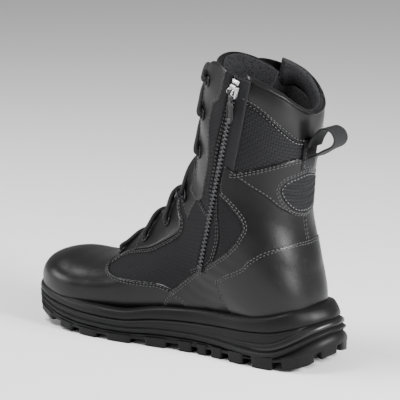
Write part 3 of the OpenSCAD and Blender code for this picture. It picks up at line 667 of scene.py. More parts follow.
def sewAll():
    sides = stitchLook["sides"]
    along = np.array([-0.5, -0.42, -0.15, 0.15, 0.42, 0.5]) * stitchLook["long"]
    fat = np.array([0.25, 0.75, 1, 1, 0.75, 0.25]) * stitchLook["thick"] / 2
    dip = np.array([-0.55, -0.2, 0, 0, -0.2, -0.55])
    turn = circle(sides)
    for kind, finish in (("plain", blackThread), ("bright", shinyThread)):
        centre, run, out, across = (np.vstack([s[k] for s in stitchList[kind]]) for k in range(4))
        high = dip[:, None] + fat[:, None] * np.sin(turn)[None]
        wide = fat[:, None] * np.cos(turn)[None]
        points = (centre[:, None, None] + run[:, None, None] * along[:, None, None]
                  + out[:, None, None] * high[..., None] + across[:, None, None] * wide[..., None])
        n = len(along) * sides
        one = np.array(gridFaces(len(along), sides, loopCols=True))
        ends = np.array([list(range(sides))[::-1], list(range(n - sides, n))])
        start = (np.arange(len(centre)) * n)[:, None, None]
        faces = (one[None] + start).reshape(-1, 4).tolist() + (ends[None] + start).reshape(-1, sides).tolist()
        makePiece("stitching_" + kind, points.reshape(-1, 3), faces, finish)
        print("stitches", kind, len(centre))


def doubleRow(curve, lift, first=2.0, second=4.3, kind="plain"):
    stitches(inset(curve, first), lift, kind)
    if second:
        stitches(inset(curve, second), lift, kind)


# The zip runs straight from foot to head, on the axes of the frame's own joints
zipFoot, zipHead = skin(9.5, 0.25, 3.6), skin(17.2, 0.272, 3.6)
zipRun = float(np.linalg.norm(zipHead - zipFoot))
joints = {j["name"]: j for j in frame["joints"]}
zipUp = -np.array(joints["zip_slide"]["axis"], float)
zipAcross = np.array(joints["puller_swing"]["axis"], float)
zipOut = np.cross(zipUp, zipAcross)
pullBar = np.array(joints["puller_swing"]["pos_m"], float) / mm


def rise(p):
    # What lies beside the chain is lifted towards it, most at the chain itself
    offset = p - zipFoot
    along = np.clip(offset @ zipUp, 0, zipRun)
    away = np.linalg.norm(offset - along[..., None] * zipUp, axis=-1)
    return 1.9 * np.exp(-(away / 12.0) ** 2)


# The uppers: every outline is in (v, a): rows up the last and turns round it, for the medial side


def both(build):
    for side in ("medial", "lateral"):
        build(side)


def onSide(curve, side):
    # The curve itself, or its mirror image run backwards so that "left" stays inside
    curve = np.asarray(curve, float)
    return curve if side == "medial" else np.column_stack([curve[:, 0], 1 - curve[:, 1]])[::-1]


def panelPiece(name, curves, side, node, finish, slot, **shape):
    verts, faces, cloth = cutPanel(shapeOf(curves, side), **shape)
    return makePiece(name, verts, faces, finish, node if isinstance(node, tuple) else (node,), uv=cloth)


def creases(p, flat, gap):
    # Leather sags a little everywhere and folds across the ankle
    soft = ripple(p, 14.0) * 0.16 + ripple(p, 6.5, 2.0) * 0.07
    ankle = np.exp(-((flat[:, 0] - 9.6) / 1.3) ** 2)
    folds = ankle * 0.2 * np.sin(p[:, 2] * 0.52 + p[:, 0] * 0.2 + ripple(p, 9.0, 1.0))
    return (soft + folds) * np.clip(gap / 4, 0, 1) + rise(p)


def clothSag(p, flat, gap):
    return (ripple(p, 11.0, 4.0) * 0.22 + ripple(p, 5.0, 1.0) * 0.08) * np.clip(gap / 5, 0, 1) + rise(p)


vampLook = {"lift": 0.9, "thick": 1.5, "cell": 1.7}
wing = [[5.74, 0.100], [5.79, 0.122], [5.90, 0.150], [6.12, 0.178], [6.41, 0.203], [6.76, 0.226], [7.08, 0.242],
        [7.45, 0.258], [7.78, 0.274], [8.05, 0.300], [8.25, 0.34]]
throat = [[5.74, 0.100], [5.70, 0.085], [5.66, 0.05], [5.62, 0.02], [5.60, 0.0]]


def flipped(curve):
    return [[v, -a] for v, a in curve]


def vampOutline():
    # Round the hem at the sole from one side to the other, then up the wings and across the throat
    hem = [[0.0, -0.46], [1.0, -0.42], [4.0, -0.41], [8.25, -0.40]]
    runs = [(flipped(hem)[::-1], 60), ([[0.0, 0.46], [0.0, -0.46]], 50), (hem, 60),
            ([[8.25, -0.40], [8.25, -0.34]], 6), (flipped(wing)[::-1], 90), (flipped(throat)[:-1], 30),
            (throat[::-1], 30), (wing, 90), ([[8.25, 0.34], [8.25, 0.40]], 6)]
    return np.vstack([line(points, count)[:-1] for points, count in runs])


def toeNose(lift):
    # The nose is closed by the end ring drawn in to its middle, swelling forward as it goes
    a = np.linspace(0, 1, 64, endpoint=False)
    ring = skin(0.0, a, lift)
    middle = ring.mean(0)
    share = np.linspace(1, 0.02, 6)[:, None, None]
    rings = middle + (ring - middle)[None] * share
    rings[..., 0] -= 1.4 * (1 - share[..., 0] ** 2)
    return loft(rings)


def toeSag(p, flat, gap):
    return ripple(p, 22.0, 3.0) * 0.14 * np.clip(gap / 6, 0, 1)


def makeVamp():
    verts, faces, cloth = cutPanel(vampOutline(), relief=toeSag, **vampLook)
    nose = outward(*toeNose(vampLook["lift"]))
    allVerts, allFaces = join([(verts, faces), nose])
    makePiece("vamp_leather", allVerts, allFaces, smoothLeather, ("vamp",),
              uv=np.vstack([cloth, np.zeros((len(nose[0]), 2))]))
    for side in ("medial", "lateral"):
        edge = onSide(line(wing, 120), side)
        doubleRow(edge[::-1], vampLook["lift"] + 0.05, 1.8, 3.8)


makeVamp()
print("vamp made")

quarterLook = {"lift": -0.1, "thick": 1.2, "cell": 1.7}
tabLook = {"lift": 0.75, "thick": 1.2, "cell": 1.2}
quarterShape = [
    [[5.62, 0.04], [5.5, 0.09], [5.6, 0.16], [6.3, 0.24], [7.2, 0.30], [7.4, 0.40]],
    [[7.4, 0.40], [8.4, 0.33], [9.2, 0.30], [9.9, 0.265]],
    [[9.9, 0.265], [9.44, 0.243], [10.1, 0.212], [10.8, 0.194], [11.3, 0.191]],
    [[11.3, 0.191], [11.4, 0.15], [11.3, 0.10], [11.2, 0.04]],
    [[11.2, 0.04], [9.25, 0.04], [8.0, 0.04], [6.5, 0.035], [5.62, 0.04]]]


# With no zip on the lateral side, its panels run on and close the shaft
closedQuarter = quarterShape[:2] + [[[9.9, 0.265], [10.6, 0.268], [11.3, 0.27]],
                                    [[11.3, 0.27], [11.3, 0.191]]] + quarterShape[3:]


# A pointed tab of leather carries the speed loop between the two eyestays
tabShape = [[[9.62, 0.03], [9.67, 0.076], [9.76, 0.102], [9.83, 0.144]],
            [[9.83, 0.144], [10.44, 0.134], [11.23, 0.139]],
            [[11.23, 0.139], [11.39, 0.118], [11.38, 0.078], [11.3, 0.03]], [[11.3, 0.03], [9.62, 0.03]]]


def makeQuarter(side):
    shape = quarterShape if side == "medial" else closedQuarter
    panelPiece("quarter_" + side + "_nylon", shape, side, "quarter_" + side, ballisticNylon, "ballistic_nylon",
               relief=clothSag, **quarterLook)
    panelPiece("hook_tab_" + side, tabShape, side, (), smoothLeather, "black_leather", **tabLook)
    for k in (0, 1):
        stitches(inset(onSide(line(tabShape[k], 60), side), 1.5), 0.8)


both(makeQuarter)

stayLook = {"lift": 1.15, "thick": 1.5}
lowerStay = [
    [[5.45, 0.03], [5.42, 0.06], [5.5, 0.09], [5.74, 0.103]],
    [[5.74, 0.103], [6.18, 0.090], [6.6, 0.096], [6.98, 0.110], [7.4, 0.128], [7.78, 0.143], [8.39, 0.149],
     [8.99, 0.151], [9.28, 0.146], [9.40, 0.13], [9.36, 0.105], [9.42, 0.075], [9.58, 0.052]],
    [[9.58, 0.052], [8.5, 0.03], [7, 0.024], [5.45, 0.03]]]
nearStay = [
    [[10.5, 0.092], [11.2, 0.088], [12.2, 0.08], [13.3, 0.084], [14.3, 0.09], [15.6, 0.097], [16.4, 0.104]],
    [[16.4, 0.104], [16.85, 0.118], [17.18, 0.145], [17.36, 0.175], [17.40, 0.215], [17.36, 0.238]],
    [[17.36, 0.238], [16.9, 0.235], [16.3, 0.229], [15.9, 0.220], [15.5, 0.200], [14.94, 0.188], [14.4, 0.191],
     [13.98, 0.196], [13.2, 0.194], [12.4, 0.181], [11.7, 0.166], [11.0, 0.150], [10.6, 0.125], [10.5, 0.092]]]


# The far side's eyestay is cut a little lower at the top
farStay = [[[v - 0.32 * max(0, v - 16.2), a] for v, a in curve] for curve in nearStay]


def throatSink(p, flat, gap):
    # The eyestay's front end dips under the vamp's throat
    return -2.0 * np.clip((5.95 - flat[:, 0]) / 0.5, 0, 1) ** 2


def makeStays(side):
    panelPiece("eyestay_lower_" + side, lowerStay, side, "lower_eyestay_" + side, smoothLeather,
               "black_leather", cell=1.3, relief=throatSink, **stayLook)
    doubleRow(onSide(line(lowerStay[1], 160), side)[::-1][8:], stayLook["lift"], 1.6, 3.4)
    seam = line([[6.98, 0.112], [6.97, 0.075], [7.0, 0.037]], 24)
    stitches(onSide(seam, side), stayLook["lift"])
    upperStay = nearStay if side == "medial" else farStay
    panelPiece("eyestay_upper_" + side, upperStay, side, "upper_eyestay_" + side, smoothLeather,
               "black_leather", cell=1.4, relief=creases, **stayLook)
    for curve in (upperStay[0], upperStay[2]):
        doubleRow(onSide(line(curve, 160), side)[::-1], stayLook["lift"], 1.7, 3.5)


both(makeStays)
print("eyestays made")

shaftLook = {"lift": 0.0, "thick": 1.2, "cell": 1.8}
facingLook = {"lift": 0.35, "thick": 1.2, "cell": 1.6}
# The shaft's nylon runs behind the zip, round the back and, as a narrow strip, between zip and eyestay
shaftShape = [
    [[8.9, 0.262], [9.9, 0.252], [10.6, 0.236], [11.4, 0.226], [12.3, 0.234], [13.4, 0.252], [14.6, 0.266],
     [16.0, 0.279], [17.2, 0.289]],
    [[17.2, 0.289], [17.0, 0.36], [16.6, 0.42], [16.2, 0.47], [16.1, 0.5]],
    [[16.1, 0.5], [14.5, 0.5], [12.9, 0.5]],
    [[12.9, 0.5], [12.6, 0.42], [12.0, 0.345], [10.5, 0.30], [8.9, 0.285], [8.9, 0.262]]]
closedStrip = [
    [[9.6, 0.13], [9.6, 0.262], [10.6, 0.272], [12.2, 0.275], [13.3, 0.285], [14.6, 0.298], [16.0, 0.308],
     [16.7, 0.314]],
    [[16.7, 0.314], [16.85, 0.27], [16.9, 0.22]],
    [[16.9, 0.22], [16.2, 0.20], [15, 0.17], [13, 0.16], [11.8, 0.14], [9.6, 0.13]]]
stripShape = [
    [[10.9, 0.13], [11.2, 0.192], [12.2, 0.197], [13.3, 0.221], [14.6, 0.235], [16.0, 0.248], [17.42, 0.260]],
    [[17.42, 0.260], [17.5, 0.22]],
    [[17.5, 0.22], [16.2, 0.20], [15, 0.17], [13, 0.16], [11.8, 0.14], [10.9, 0.13]]]


def makeShaft(side):
    panelPiece("shaft_" + side + "_nylon", shaftShape, side, "shaft_panel_" + side, ballisticNylon,
               "ballistic_nylon", relief=clothSag, **shaftLook)
    name, node = (("zip_front_facing", "zip_facing") if side == "medial" else
                  ("lateral_front_facing", "lateral_facing"))
    strip = stripShape if side == "medial" else closedStrip
    panelPiece(name, strip, side, node, ballisticNylon, "ballistic_nylon", relief=clothSag, **facingLook)
    edge = onSide(line(strip[0], 160), side)[::-1]
    doubleRow(edge, 0.4, 1.6, 3.4)
    rear = onSide(line(shaftShape[0], 160), side)
    doubleRow(rear, 0.1, 1.6, 3.6)


both(makeShaft)

saddleLook = {"lift": 0.95, "thick": 1.3, "cell": 1.8}
saddleFront = [[6.9, 0.44], [7.05, 0.41], [7.29, 0.371], [7.55, 0.333], [7.83, 0.310], [8.11, 0.292],
               [8.76, 0.267],
               [9.45, 0.251], [10.22, 0.248], [11.0, 0.257], [11.41, 0.271], [11.85, 0.289], [12.12, 0.2985],
               [12.28, 0.296], [12.36, 0.285], [12.40, 0.268], [12.40, 0.238]]
saddleShape = [
    saddleFront,
    [[12.40, 0.238], [13.0, 0.247], [13.75, 0.262]],
    [[13.75, 0.262], [13.9, 0.33], [13.7, 0.42], [13.6, 0.5]],
    [[13.6, 0.5], [12.6, 0.5], [11.6, 0.5]],
    [[11.6, 0.5], [11.3, 0.44], [10.6, 0.36], [9.9, 0.33], [9.5, 0.40], [9.3, 0.46], [8.0, 0.47], [6.9, 0.44]]]


def makeSaddle(side):
    panelPiece("saddle_" + side + "_leather", saddleShape, side, "saddle_" + side, smoothLeather,
               "black_leather", relief=creases, **saddleLook)
    front = onSide(line(saddleFront, 260), side)
    doubleRow(front[::-1], saddleLook["lift"] + 0.02, 1.8, 3.8)


both(makeSaddle)
print("saddles made")

strapLook = {"lift": 1.9, "thick": 1.3, "cell": 1.4}
strapTop = [[13.62, 0.276], [13.75, 0.291], [14.19, 0.328], [14.7, 0.382], [15.0, 0.43], [15.09, 0.46],
            [15.1, 0.5]]
strapLow = [[13.29, 0.5], [13.31, 0.485], [13.39, 0.443], [13.47, 0.405], [13.62, 0.373], [13.65, 0.328],
            [13.64, 0.295], [13.62, 0.276]]


def makeStrap(side):
    panelPiece("ankle_strap_" + side + "_leather", [strapTop, [[15.1, 0.5], [13.29, 0.5]], strapLow], side,
               "ankle_strap_" + side, smoothLeather, "black_leather", relief=creases, **strapLook)
    doubleRow(onSide(line(strapTop, 140), side)[::-1], strapLook["lift"], 1.7, 3.7)
    doubleRow(onSide(line(strapLow, 140), side)[::-1], strapLook["lift"], 1.7, 0)


both(makeStrap)

achillesLook = {"lift": 2.6, "thick": 1.4, "ribs": 5, "ribHeight": 1.3, "low": 13.44, "tall": 1.16}
achillesShape = [[14.6, 0.5], [14.58, 0.483], [14.5, 0.46], [14.40, 0.438], [14.24, 0.421], [14.02, 0.412],
                 [13.78, 0.420], [13.58, 0.440], [13.47, 0.465], [13.44, 0.5]]


def overBack(curve):
    # The same curve on the other side of the back seam
    return [[v, 1 - a] for v, a in curve]


def makeAchilles():
    mirrored = overBack(achillesShape)
    outline = [achillesShape, mirrored[::-1]]

    def ribs(p, flat, gap):
        share = (flat[:, 0] - achillesLook["low"]) / achillesLook["tall"]
        wave = np.abs(np.sin(share * np.pi * achillesLook["ribs"]))
        return (wave ** 0.6 - 0.6) * achillesLook["ribHeight"] * np.clip(gap / 3, 0, 1)

    verts, faces, cloth = cutPanel(shapeOf(outline), achillesLook["lift"], achillesLook["thick"], 0.9,
                                   relief=ribs)
    makePiece("achilles_flex_panel", verts, faces, ballisticNylon, ("achilles_panel",),
              uv=cloth)
    ring = np.vstack([line(achillesShape, 90), line(mirrored[::-1], 90)])
    doubleRow(ring[::-1], strapLook["lift"] + 0.15, 1.7, 3.4)
    stitches(inset(ring, 1.3), achillesLook["lift"], "bright")


makeAchilles()

counterLook = {"lift": 1.35, "thick": 1.2, "cell": 1.6}
counterTop = [[9.72, 0.279], [10.1, 0.277], [10.45, 0.280], [10.9, 0.289], [11.36, 0.303], [12.0, 0.348],
              [12.46, 0.403], [12.66, 0.455], [12.7, 0.5]]
counterFront = [[9.25, 0.45], [9.26, 0.40], [9.32, 0.345], [9.42, 0.315], [9.55, 0.292], [9.72, 0.279]]


def heelSag(p, flat, gap):
    return ripple(p, 20.0, 5.0) * 0.12


def makeCounter():
    flipTop, flipFront = overBack(counterTop), overBack(counterFront)
    hem = [[9.25, 0.55], [10.3, 0.545], [11.05, 0.53], [11.2, 0.5], [11.05, 0.47], [10.3, 0.455], [9.25, 0.45]]
    outline = shapeOf([counterTop, flipTop[::-1], flipFront[::-1], hem, counterFront])
    verts, faces, cloth = cutPanel(outline, relief=heelSag, **counterLook)
    makePiece("heel_counter_leather", verts, faces, counterLeather, ("heel_counter",),
              uv=cloth)
    top = np.vstack([line(counterFront[2:], 40), line(counterTop, 120), line(flipTop[::-1], 120),
                     line(flipFront[::-1][:-2], 40)])
    doubleRow(top[::-1], counterLook["lift"], 1.8, 3.8)


makeCounter()
seam = line([[13.35, 0.4995], [13.0, 0.4995], [12.68, 0.4995]], 30)
stitches(inset(seam, 1.6), saddleLook["lift"])
stitches(inset(seam, -1.6), saddleLook["lift"])
print("heel counter, strap and ribbed panel made")

# The sole
# Each row: x, medial y, lateral y, top z, bottom z
soleRows = np.array([
    [-163, -8, -8, 36, 17], [-161, -23, 7, 36, 16], [-154, -34, 18, 35, 13], [-141, -43, 30, 34, 9],
    [-122, -50, 41, 32, 4], [-99, -54, 50, 30, 1], [-72, -55, 55, 29, 0], [-43, -52, 56, 29, 0],
    [-12, -46, 53, 35, 0], [20, -41, 48, 38, 0], [52, -40, 45, 40, 0], [84, -42, 44, 42, 0],
    [112, -41, 42, 46, 0],
    [134, -34, 35, 51, 4], [147, -22, 23, 53, 10], [153, -10, 11, 54, 14], [155, 0, 0, 54, 15]])
soleRing = np.vstack([soleRows[:, [0, 1, 3, 4]], soleRows[-2:0:-1][:, [0, 2, 3, 4]]])


def soleEdge(u):
    # The closed edge curve: 32 rows from the toe along the medial side to the heel (16) and back
    n = len(soleRing)
    k = np.floor(u).astype(int)
    f = (u - k)[..., None]
    p, q, r, s = (soleRing[(k + i) % n] for i in (-1, 0, 1, 2))
    return 0.5 * (2 * q + (r - p) * f + (2 * p - 5 * q + 4 * r - s) * f ** 2 + (3 * q - 3 * r + s - p) * f ** 3)


def soleAt(u, t, d=0.0):
    # t rises from the ground to the top of the sole, d stands out from the edge; the heel is raked forwards
    u, t, d = np.broadcast_arrays(np.asarray(u, float), np.asarray(t, float), np.asarray(d, float))
    p = soleEdge(u)
    run = unit((soleEdge(u + 0.02) - soleEdge(u - 0.02))[..., :2])
    x = p[..., 0] + run[..., 1] * d - 11 * t ** 2 * ease((p[..., 0] - 96) / 54)
    y = p[..., 1] - run[..., 0] * d
    low = np.maximum(0, p[..., 3])
    return np.stack([x, y, low + (p[..., 2] - low) * t], -1) + shift


def edgeX(u):
    return soleEdge(np.asarray(u, float))[..., 0]


def splitAt(u):
    # Where outsole meets midsole: low under the arch, swept up round the back of the heel
    x = edgeX(u)
    return np.interp(x, [-163, -60, 10, 48, 76, 100, 116, 130, 144, 155],
                     [0.36, 0.33, 0.32, 0.29, 0.22, 0.17, 0.22, 0.32, 0.41, 0.43])


def ridgeAt(u):
    # The height of the midsole's bright ridge
    x = edgeX(u)
    return np.interp(x, [-163, -60, 10, 48, 76, 106, 128, 144, 155],
                     [0.50, 0.46, 0.43, 0.40, 0.34, 0.31, 0.42, 0.54, 0.57])


def smoothRound(values, size=9):
    # Averages round the closed edge, so that a bent line of rows becomes a curve
    kernel = np.hanning(size + 2)[1:-1]
    kernel /= kernel.sum()
    return np.convolve(np.concatenate([values[-size:], values, values[:size]]), kernel, "same")[size:-size]


def bar(x, middle, width):
    # A smooth hump, one at its middle
    return np.exp(-((x - middle) / width) ** 2)


soleLook = {"around": 420, "midsoleRows": 44, "lugOut": 1.6, "lugDeep": 13.0}
soleU = np.linspace(0, 32, soleLook["around"], endpoint=False)
split = smoothRound(splitAt(soleU), 25)
ridge = smoothRound(ridgeAt(soleU), 25)
heelShare = ease((edgeX(soleU) - 30) / 70)


def fillIn(ring, rows=7):
    # Rows that carry an edge ring in to the sole's own middle line
    x = np.clip(ring[:, 0], -118, 108)
    spine = np.stack([x, ring[:, 1] * 0.02, ring[:, 2]], -1)
    share = (np.linspace(1, 0, rows)[1:] ** 1.2)[:, None, None]
    return spine + (ring - spine)[None] * share


def slab(wall, name, finish, node):
    # A solid sole layer: its wall rings from the bottom up, with a floor and a lid that meet at the middle
    floorRows, lid = fillIn(wall[0])[::-1], fillIn(wall[-1])
    rings = np.concatenate([floorRows, wall, lid])
    faces = gridFaces(len(rings), rings.shape[1], loopCols=True)
    ends = rings.shape[1]
    mid = []
    for base in (0, (len(rings) - 1) * ends):
        half = ends // 2
        across = [[base + k, base + k + 1, base + ends - k - 1, base + (ends - k) % ends] for k in range(half)]
        mid += [quad for quad in across if len(set(quad)) == 4]
    return makePiece(name, rings.reshape(-1, 3), faces + mid, finish, (node,), weld=0.02)


def makeMidsole():
    t = np.linspace(0, 1, soleLook["midsoleRows"])[:, None]
    level = split + (0.715 - split) * t
    # A rolled lip at the foot, a bright ridge that sweeps up round the heel, a groove above and below it
    d = 0.4 - 1.5 * bar(level, 0.715, 0.03) - 1.3 * bar(level, split, 0.02)
    d += 1.9 * bar(level, ridge - 0.05, 0.035) * (0.35 + 0.65 * heelShare)
    d -= 1.2 * bar(level, ridge + 0.03, 0.028)
    d += 0.9 * heelShare * bar(level, ridge + 0.11, 0.045) - heelShare * bar(level, ridge + 0.175, 0.02)
    d += 0.7 * (1 - heelShare) * bar(level, 0.62, 0.05)
    wall = soleAt(soleU[None], level, d)
    slab(wall, "midsole_cushion", midsoleRubber, "midsole")


def makeOutsole():
    t = np.linspace(0, 1, 20)[:, None]
    level = 0.16 + (split - 0.004 - 0.16) * t
    back = ease((edgeX(soleU) - 104) / 36)
    # The outsole turns up behind the heel as a round lobe
    d = 0.6 - 1.6 * t ** 8 + back * (1.6 * np.sin(np.pi * t ** 0.8) - 0.4)
    d -= 0.8 * (1 - back) * bar(level, 0.24, 0.02)
    wall = soleAt(soleU[None], level, d)
    slab(wall, "outsole_plate", soleRubber, "outsole")


lugRuns = [[-152, -127], [-118, -99], [-93, -70], [-61, -34], [-22, 1], [12, 27], [32, 43], [47, 60], [66, 84],
           [91, 114], [120, 158]]


def blockAt(u0, u1, deep, low, high, out, taper=0.10, edge=0.16, steps=5):
    # One lug: a rounded rectangle along the edge (u) and inwards, stacked with a bevelled foot
    k = circle(8 * steps)
    px, py = squared(k, 0.32)
    levels = [(low, 1 - edge), (low + 0.012, 1 - edge * 0.45), (low + 0.035, 1 - taper),
              (high * 0.6, 1 - taper / 2), (high, 1.0)]
    middle, half = (u0 + u1) / 2, (u1 - u0) / 2
    rings = [soleAt(middle + half * px * size, level, out - deep / 2 + deep / 2 * py * size)
             for level, size in levels]
    return outward(*loft(np.array(rings)))


def makeLugs():
    fine = np.linspace(0, 16, 1601)
    x = edgeX(fine)
    parts = []
    for number, (x0, x1) in enumerate(lugRuns):
        u0, u1 = np.interp([x0, min(x1, 154.9)], x, fine)
        for start, end in ((u0, u1), (32 - u1, 32 - u0)):
            if number == len(lugRuns) - 1:
                middle = (start + end) / 2
                gap = 0.12
                for s, e in ((start, middle - gap), (middle + gap, end)):
                    parts.append(blockAt(s, e, soleLook["lugDeep"], 0.0, 0.24, soleLook["lugOut"]))
            else:
                parts.append(blockAt(start, end, soleLook["lugDeep"], 0.0, 0.25, soleLook["lugOut"]))
            if x1 < 125:
                # A second, smaller block stands further in
                trim = (end - start) * 0.12
                parts.append(blockAt(start + trim, end - trim, 11.0, 0.0, 0.19, -soleLook["lugDeep"] - 1.5))
    centre = [[-134, 24, 0], [-108, 20, 3], [-81, 20, -3], [-50, 22, 2], [-12, 20, -2], [20, 16, 0],
              [50, 12, 2],
              [74, 14, -2], [100, 18, 1]]
    for x0, long, y0 in centre:
        u = np.interp(x0, x, fine)
        low = float(np.maximum(0, soleEdge(np.array(u))[3]))
        k = circle(24)
        shape = np.stack([np.cos(k) * long / 2 * (1 + 0.1 * np.cos(3 * k)), np.sin(k) * 7.5], -1)
        rings = [np.column_stack([x0 + shape[:, 0] * size + shift[0], y0 + shape[:, 1] * size,
                                  np.full(24, low + z)])
                 for z, size in ((0.0, 0.86), (0.4, 0.93), (1.4, 0.97), (7.0, 1.0))]
        parts.append(outward(*loft(np.array(rings))))
    verts, faces = join(parts)
    makePiece("outsole_lugs", verts, faces, soleRubber, shade=False)


def upperGap():
    # How far in from the sole's top edge the upper stands, all round
    v, a = np.meshgrid(np.linspace(0, 12.2, 260), np.linspace(0, 1, 240, endpoint=False), indexing="ij")
    surface = skin(v, a, 0.9).reshape(-1, 3)
    edge = soleAt(soleU, 1.0)
    surface = surface[(surface[:, 2] > 26) & (surface[:, 2] < 60)]
    found = nearest(edge, surface)[0]
    return smoothRound(np.clip(found, 0.6, 12.0), 15)


def makeRand():
    # The rand stands on the midsole and leans over the upper with a rounded lip
    low = 0.722
    profile = [(low, -1.2), (low + 0.01, -0.3), (low + 0.05, 0.35), (0.84, 0.5), (0.9, 0.25), (0.955, -0.35),
               (0.985, -1.0), (1.0, -2.0)]
    toe = 1 - ease((edgeX(soleU) + 140) / 30)
    reach = upperGap()
    # Past the lip it slopes up to the upper, wherever that stands, and turns down behind it
    rings = [soleAt(soleU, t + 0.02 * toe * (t > 0.95), d + 0.5 * toe) for t, d in profile]
    rings += [soleAt(soleU, 1.0 + extra, -2.0 - share * (reach - 1.2))
              for share, extra in ((0.35, 0.02), (0.7, 0.035), (1.0, 0.03))]
    rings += [soleAt(soleU, t, -2.6 - reach) for t in (0.97, 0.85, low)]
    rings = np.array(rings)
    faces = gridFaces(len(rings), len(soleU), loopRows=True, loopCols=True)
    verts, faces = outward(rings.reshape(-1, 3), faces)
    makePiece("rand_rubber", verts, faces, randRubber, ("rand",))


def makeClip():
    # Heel stabiliser: a band let into the back of the midsole, thin at its two ends
    u = np.linspace(11.2, 20.8, 150)
    share = np.sin(np.pi * np.linspace(0, 1, 150)) ** 0.45
    middle = np.interp(u, soleU, ridge + 0.075)
    k = circle(18)[:, None]
    t = middle + np.cos(k) * 0.055 * share
    d = 0.5 + np.sin(k) * 1.2 * share + 0.4 * share
    rings = np.moveaxis(soleAt(u[None], t, d), 0, 1)
    verts, faces = outward(*loft(rings))
    makePiece("heel_clip_band", verts, faces, hardPlastic, ("heel_clip",))


makeMidsole()
makeOutsole()
makeLugs()
makeRand()
makeClip()
print("sole made")

# Collar, tongue and lining
collarLook = {"start": 0.289, "end": 0.782, "puff": 2.2}
# The rim's height at turns round the shaft
rimRows = np.array([[0.27, 17.45], [0.31, 17.4], [0.35, 17.3], [0.39, 17.13], [0.43, 16.86], [0.47, 16.66],
                    [0.50, 16.60], [0.54, 16.64], [0.60, 16.72], [0.64, 16.86], [0.68, 17.03], [0.72, 17.16],
                    [0.76, 17.2], [0.80, 17.22]])


def topV(a):
    return np.interp(a, rimRows[:, 0], rimRows[:, 1])


def seamV(a):
    # The seam under the collar dips at the back and a little on the far side
    return 15.65 + 0.9 * ease((np.abs(a - 0.5) - 0.04) / 0.16) - 0.35 * ease((a - 0.72) / 0.05)


def makeCollar():
    # Cross-section of a stuffed roll: leather swells outside from the lower seam to the rim, knit inside
    a = np.linspace(collarLook["start"], collarLook["end"], 200)
    k = np.linspace(0, 1, 26)
    low, high = seamV(a) - 0.06, topV(a)
    puff = collarLook["puff"] * (1 - 0.75 * np.exp(-((a - 0.5) / 0.035) ** 2))
    outside = [(low + (high - low) * t, 0.4 + puff * np.sin(np.pi * min(1, t * 0.92 + 0.04)) ** 0.7) for t in k]
    rim = [(high + 0.10 * np.sin(np.pi * t), 0.6 - 6.4 * t) for t in np.linspace(0, 1, 9)[1:-1]]
    inside = [(high + (low - high) * t, -5.8 - 1.6 * np.sin(np.pi * t)) for t in k]
    end = ease(np.minimum((a - a[0]) / 0.014, (a[-1] - a) / 0.014))
    rings = np.array([skin(v, a, (d + 2.6) * (0.35 + 0.65 * end) - 2.6) for v, d in outside + rim + inside])
    rings = rings + outwardAt(16.5, a)[None] * (ripple(rings, 12.0, 2.0) * 0.25)[..., None]
    verts, faces = outward(*loft(np.moveaxis(rings, 0, 1)))
    cols = rings.shape[0]
    kinds = [0 if (f[0] % cols) < len(k) + 3 else 1 for f in faces]
    collar = makePiece("collar_padded", verts, faces, [softLeather, liningMesh], ("collar",),
                       kinds=kinds)
    seam = np.column_stack([seamV(a), a])
    path = skin(seam[:, 0], a, 1.0)
    verts, faces = outward(*tube(path, 1.7, 1.7, 8, outwardAt(seam[:, 0], a)))
    rimV = topV(a) - 0.02
    path = skin(rimV, a, 1.6)
    rimTube = outward(*tube(path, 1.9, 1.9, 8, outwardAt(rimV, a)))
    verts, faces = join([(verts, faces), rimTube])
    makePiece("collar_piping", verts, faces, counterLeather)
    below = np.column_stack([seamV(a) - 0.04, a])
    stitches(inset(below[::-1], 1.2), 0.35, "bright")
    stitches(inset(below[::-1], -2.4), 2.4, "plain")


makeCollar()

tongueLook = {"depth": -5.9, "swell": 4.4, "under": 2.4, "proud": 4.6, "sink": -5.0, "top": 17.15}
tongueEdge = [[5.7, 0.02], [8, 0.07], [11, 0.12], [14, 0.155], [15.6, 0.195], [17.35, 0.225]]


def smoothAcross(points, times=14):
    # Rounds off the last's sharp front edge, from side to side
    for _ in range(times):
        points[:, 1:-1] = (points[:, :-2] + 2 * points[:, 1:-1] + points[:, 2:]) / 4
    return points


def makeTongue():
    # A padded leaf: it swells between its edges, has cross channels at the ankle, and its top rolls inwards
    rows, cols = 130, 44
    edge = line(tongueEdge, 200)
    v = np.linspace(5.55, tongueLook["top"], rows)
    half = np.interp(v, edge[:, 0], edge[:, 1])
    across = np.sin(np.linspace(-1, 1, cols) * np.pi / 2)
    a = half[:, None] * across[None]
    dip = 0.42 * np.abs(across[None]) ** 3 + 0.5 * ease((a + 0.05) / 0.07)
    vv = v[:, None] - dip * ease((v[:, None] - 14.5) / 2.6)
    full = np.sqrt(np.clip(1 - across ** 2, 0, 1))[None] ** 0.5
    channel = 0.8 * np.abs(np.sin((vv - 9.0) * 3.4)) ** 0.6 * bar(vv, 10.4, 1.2)
    # It lies flat between the eyestays at the top and stands up between them over the instep
    sunk = tongueLook["sink"] * ease((vv - 14.6) / 2.0)
    proud = tongueLook["proud"] * ease((vv - 5.2) / 0.6) * ease((12.4 - vv) / 1.6) * (1 - across ** 2)[None]
    puff = (tongueLook["swell"] + 0.5 * channel + ripple(lastAt(vv, a), 12.0, 1.0) * 0.25) * full
    outer = tongueLook["depth"] + puff + sunk + proud
    inner = tongueLook["depth"] - tongueLook["under"] * full + sunk + proud * 0.5
    top = smoothAcross(skin(vv, a, outer))
    under = smoothAcross(skin(vv, a, inner))
    verts, faces = shell(top, under)
    # Knit lies on the underside, soft leather over the tip and nylon on the rest
    kinds = [1 if f[0] % (2 * cols) >= cols else 2 if v[f[0] // (2 * cols)] > 16.2 else 0 for f in faces]
    tongue = makePiece("tongue_padded", verts, faces, [tongueNylon, liningMesh, softLeather],
                       ("tongue",), uv=shellMap(vv, a), kinds=kinds)


makeTongue()


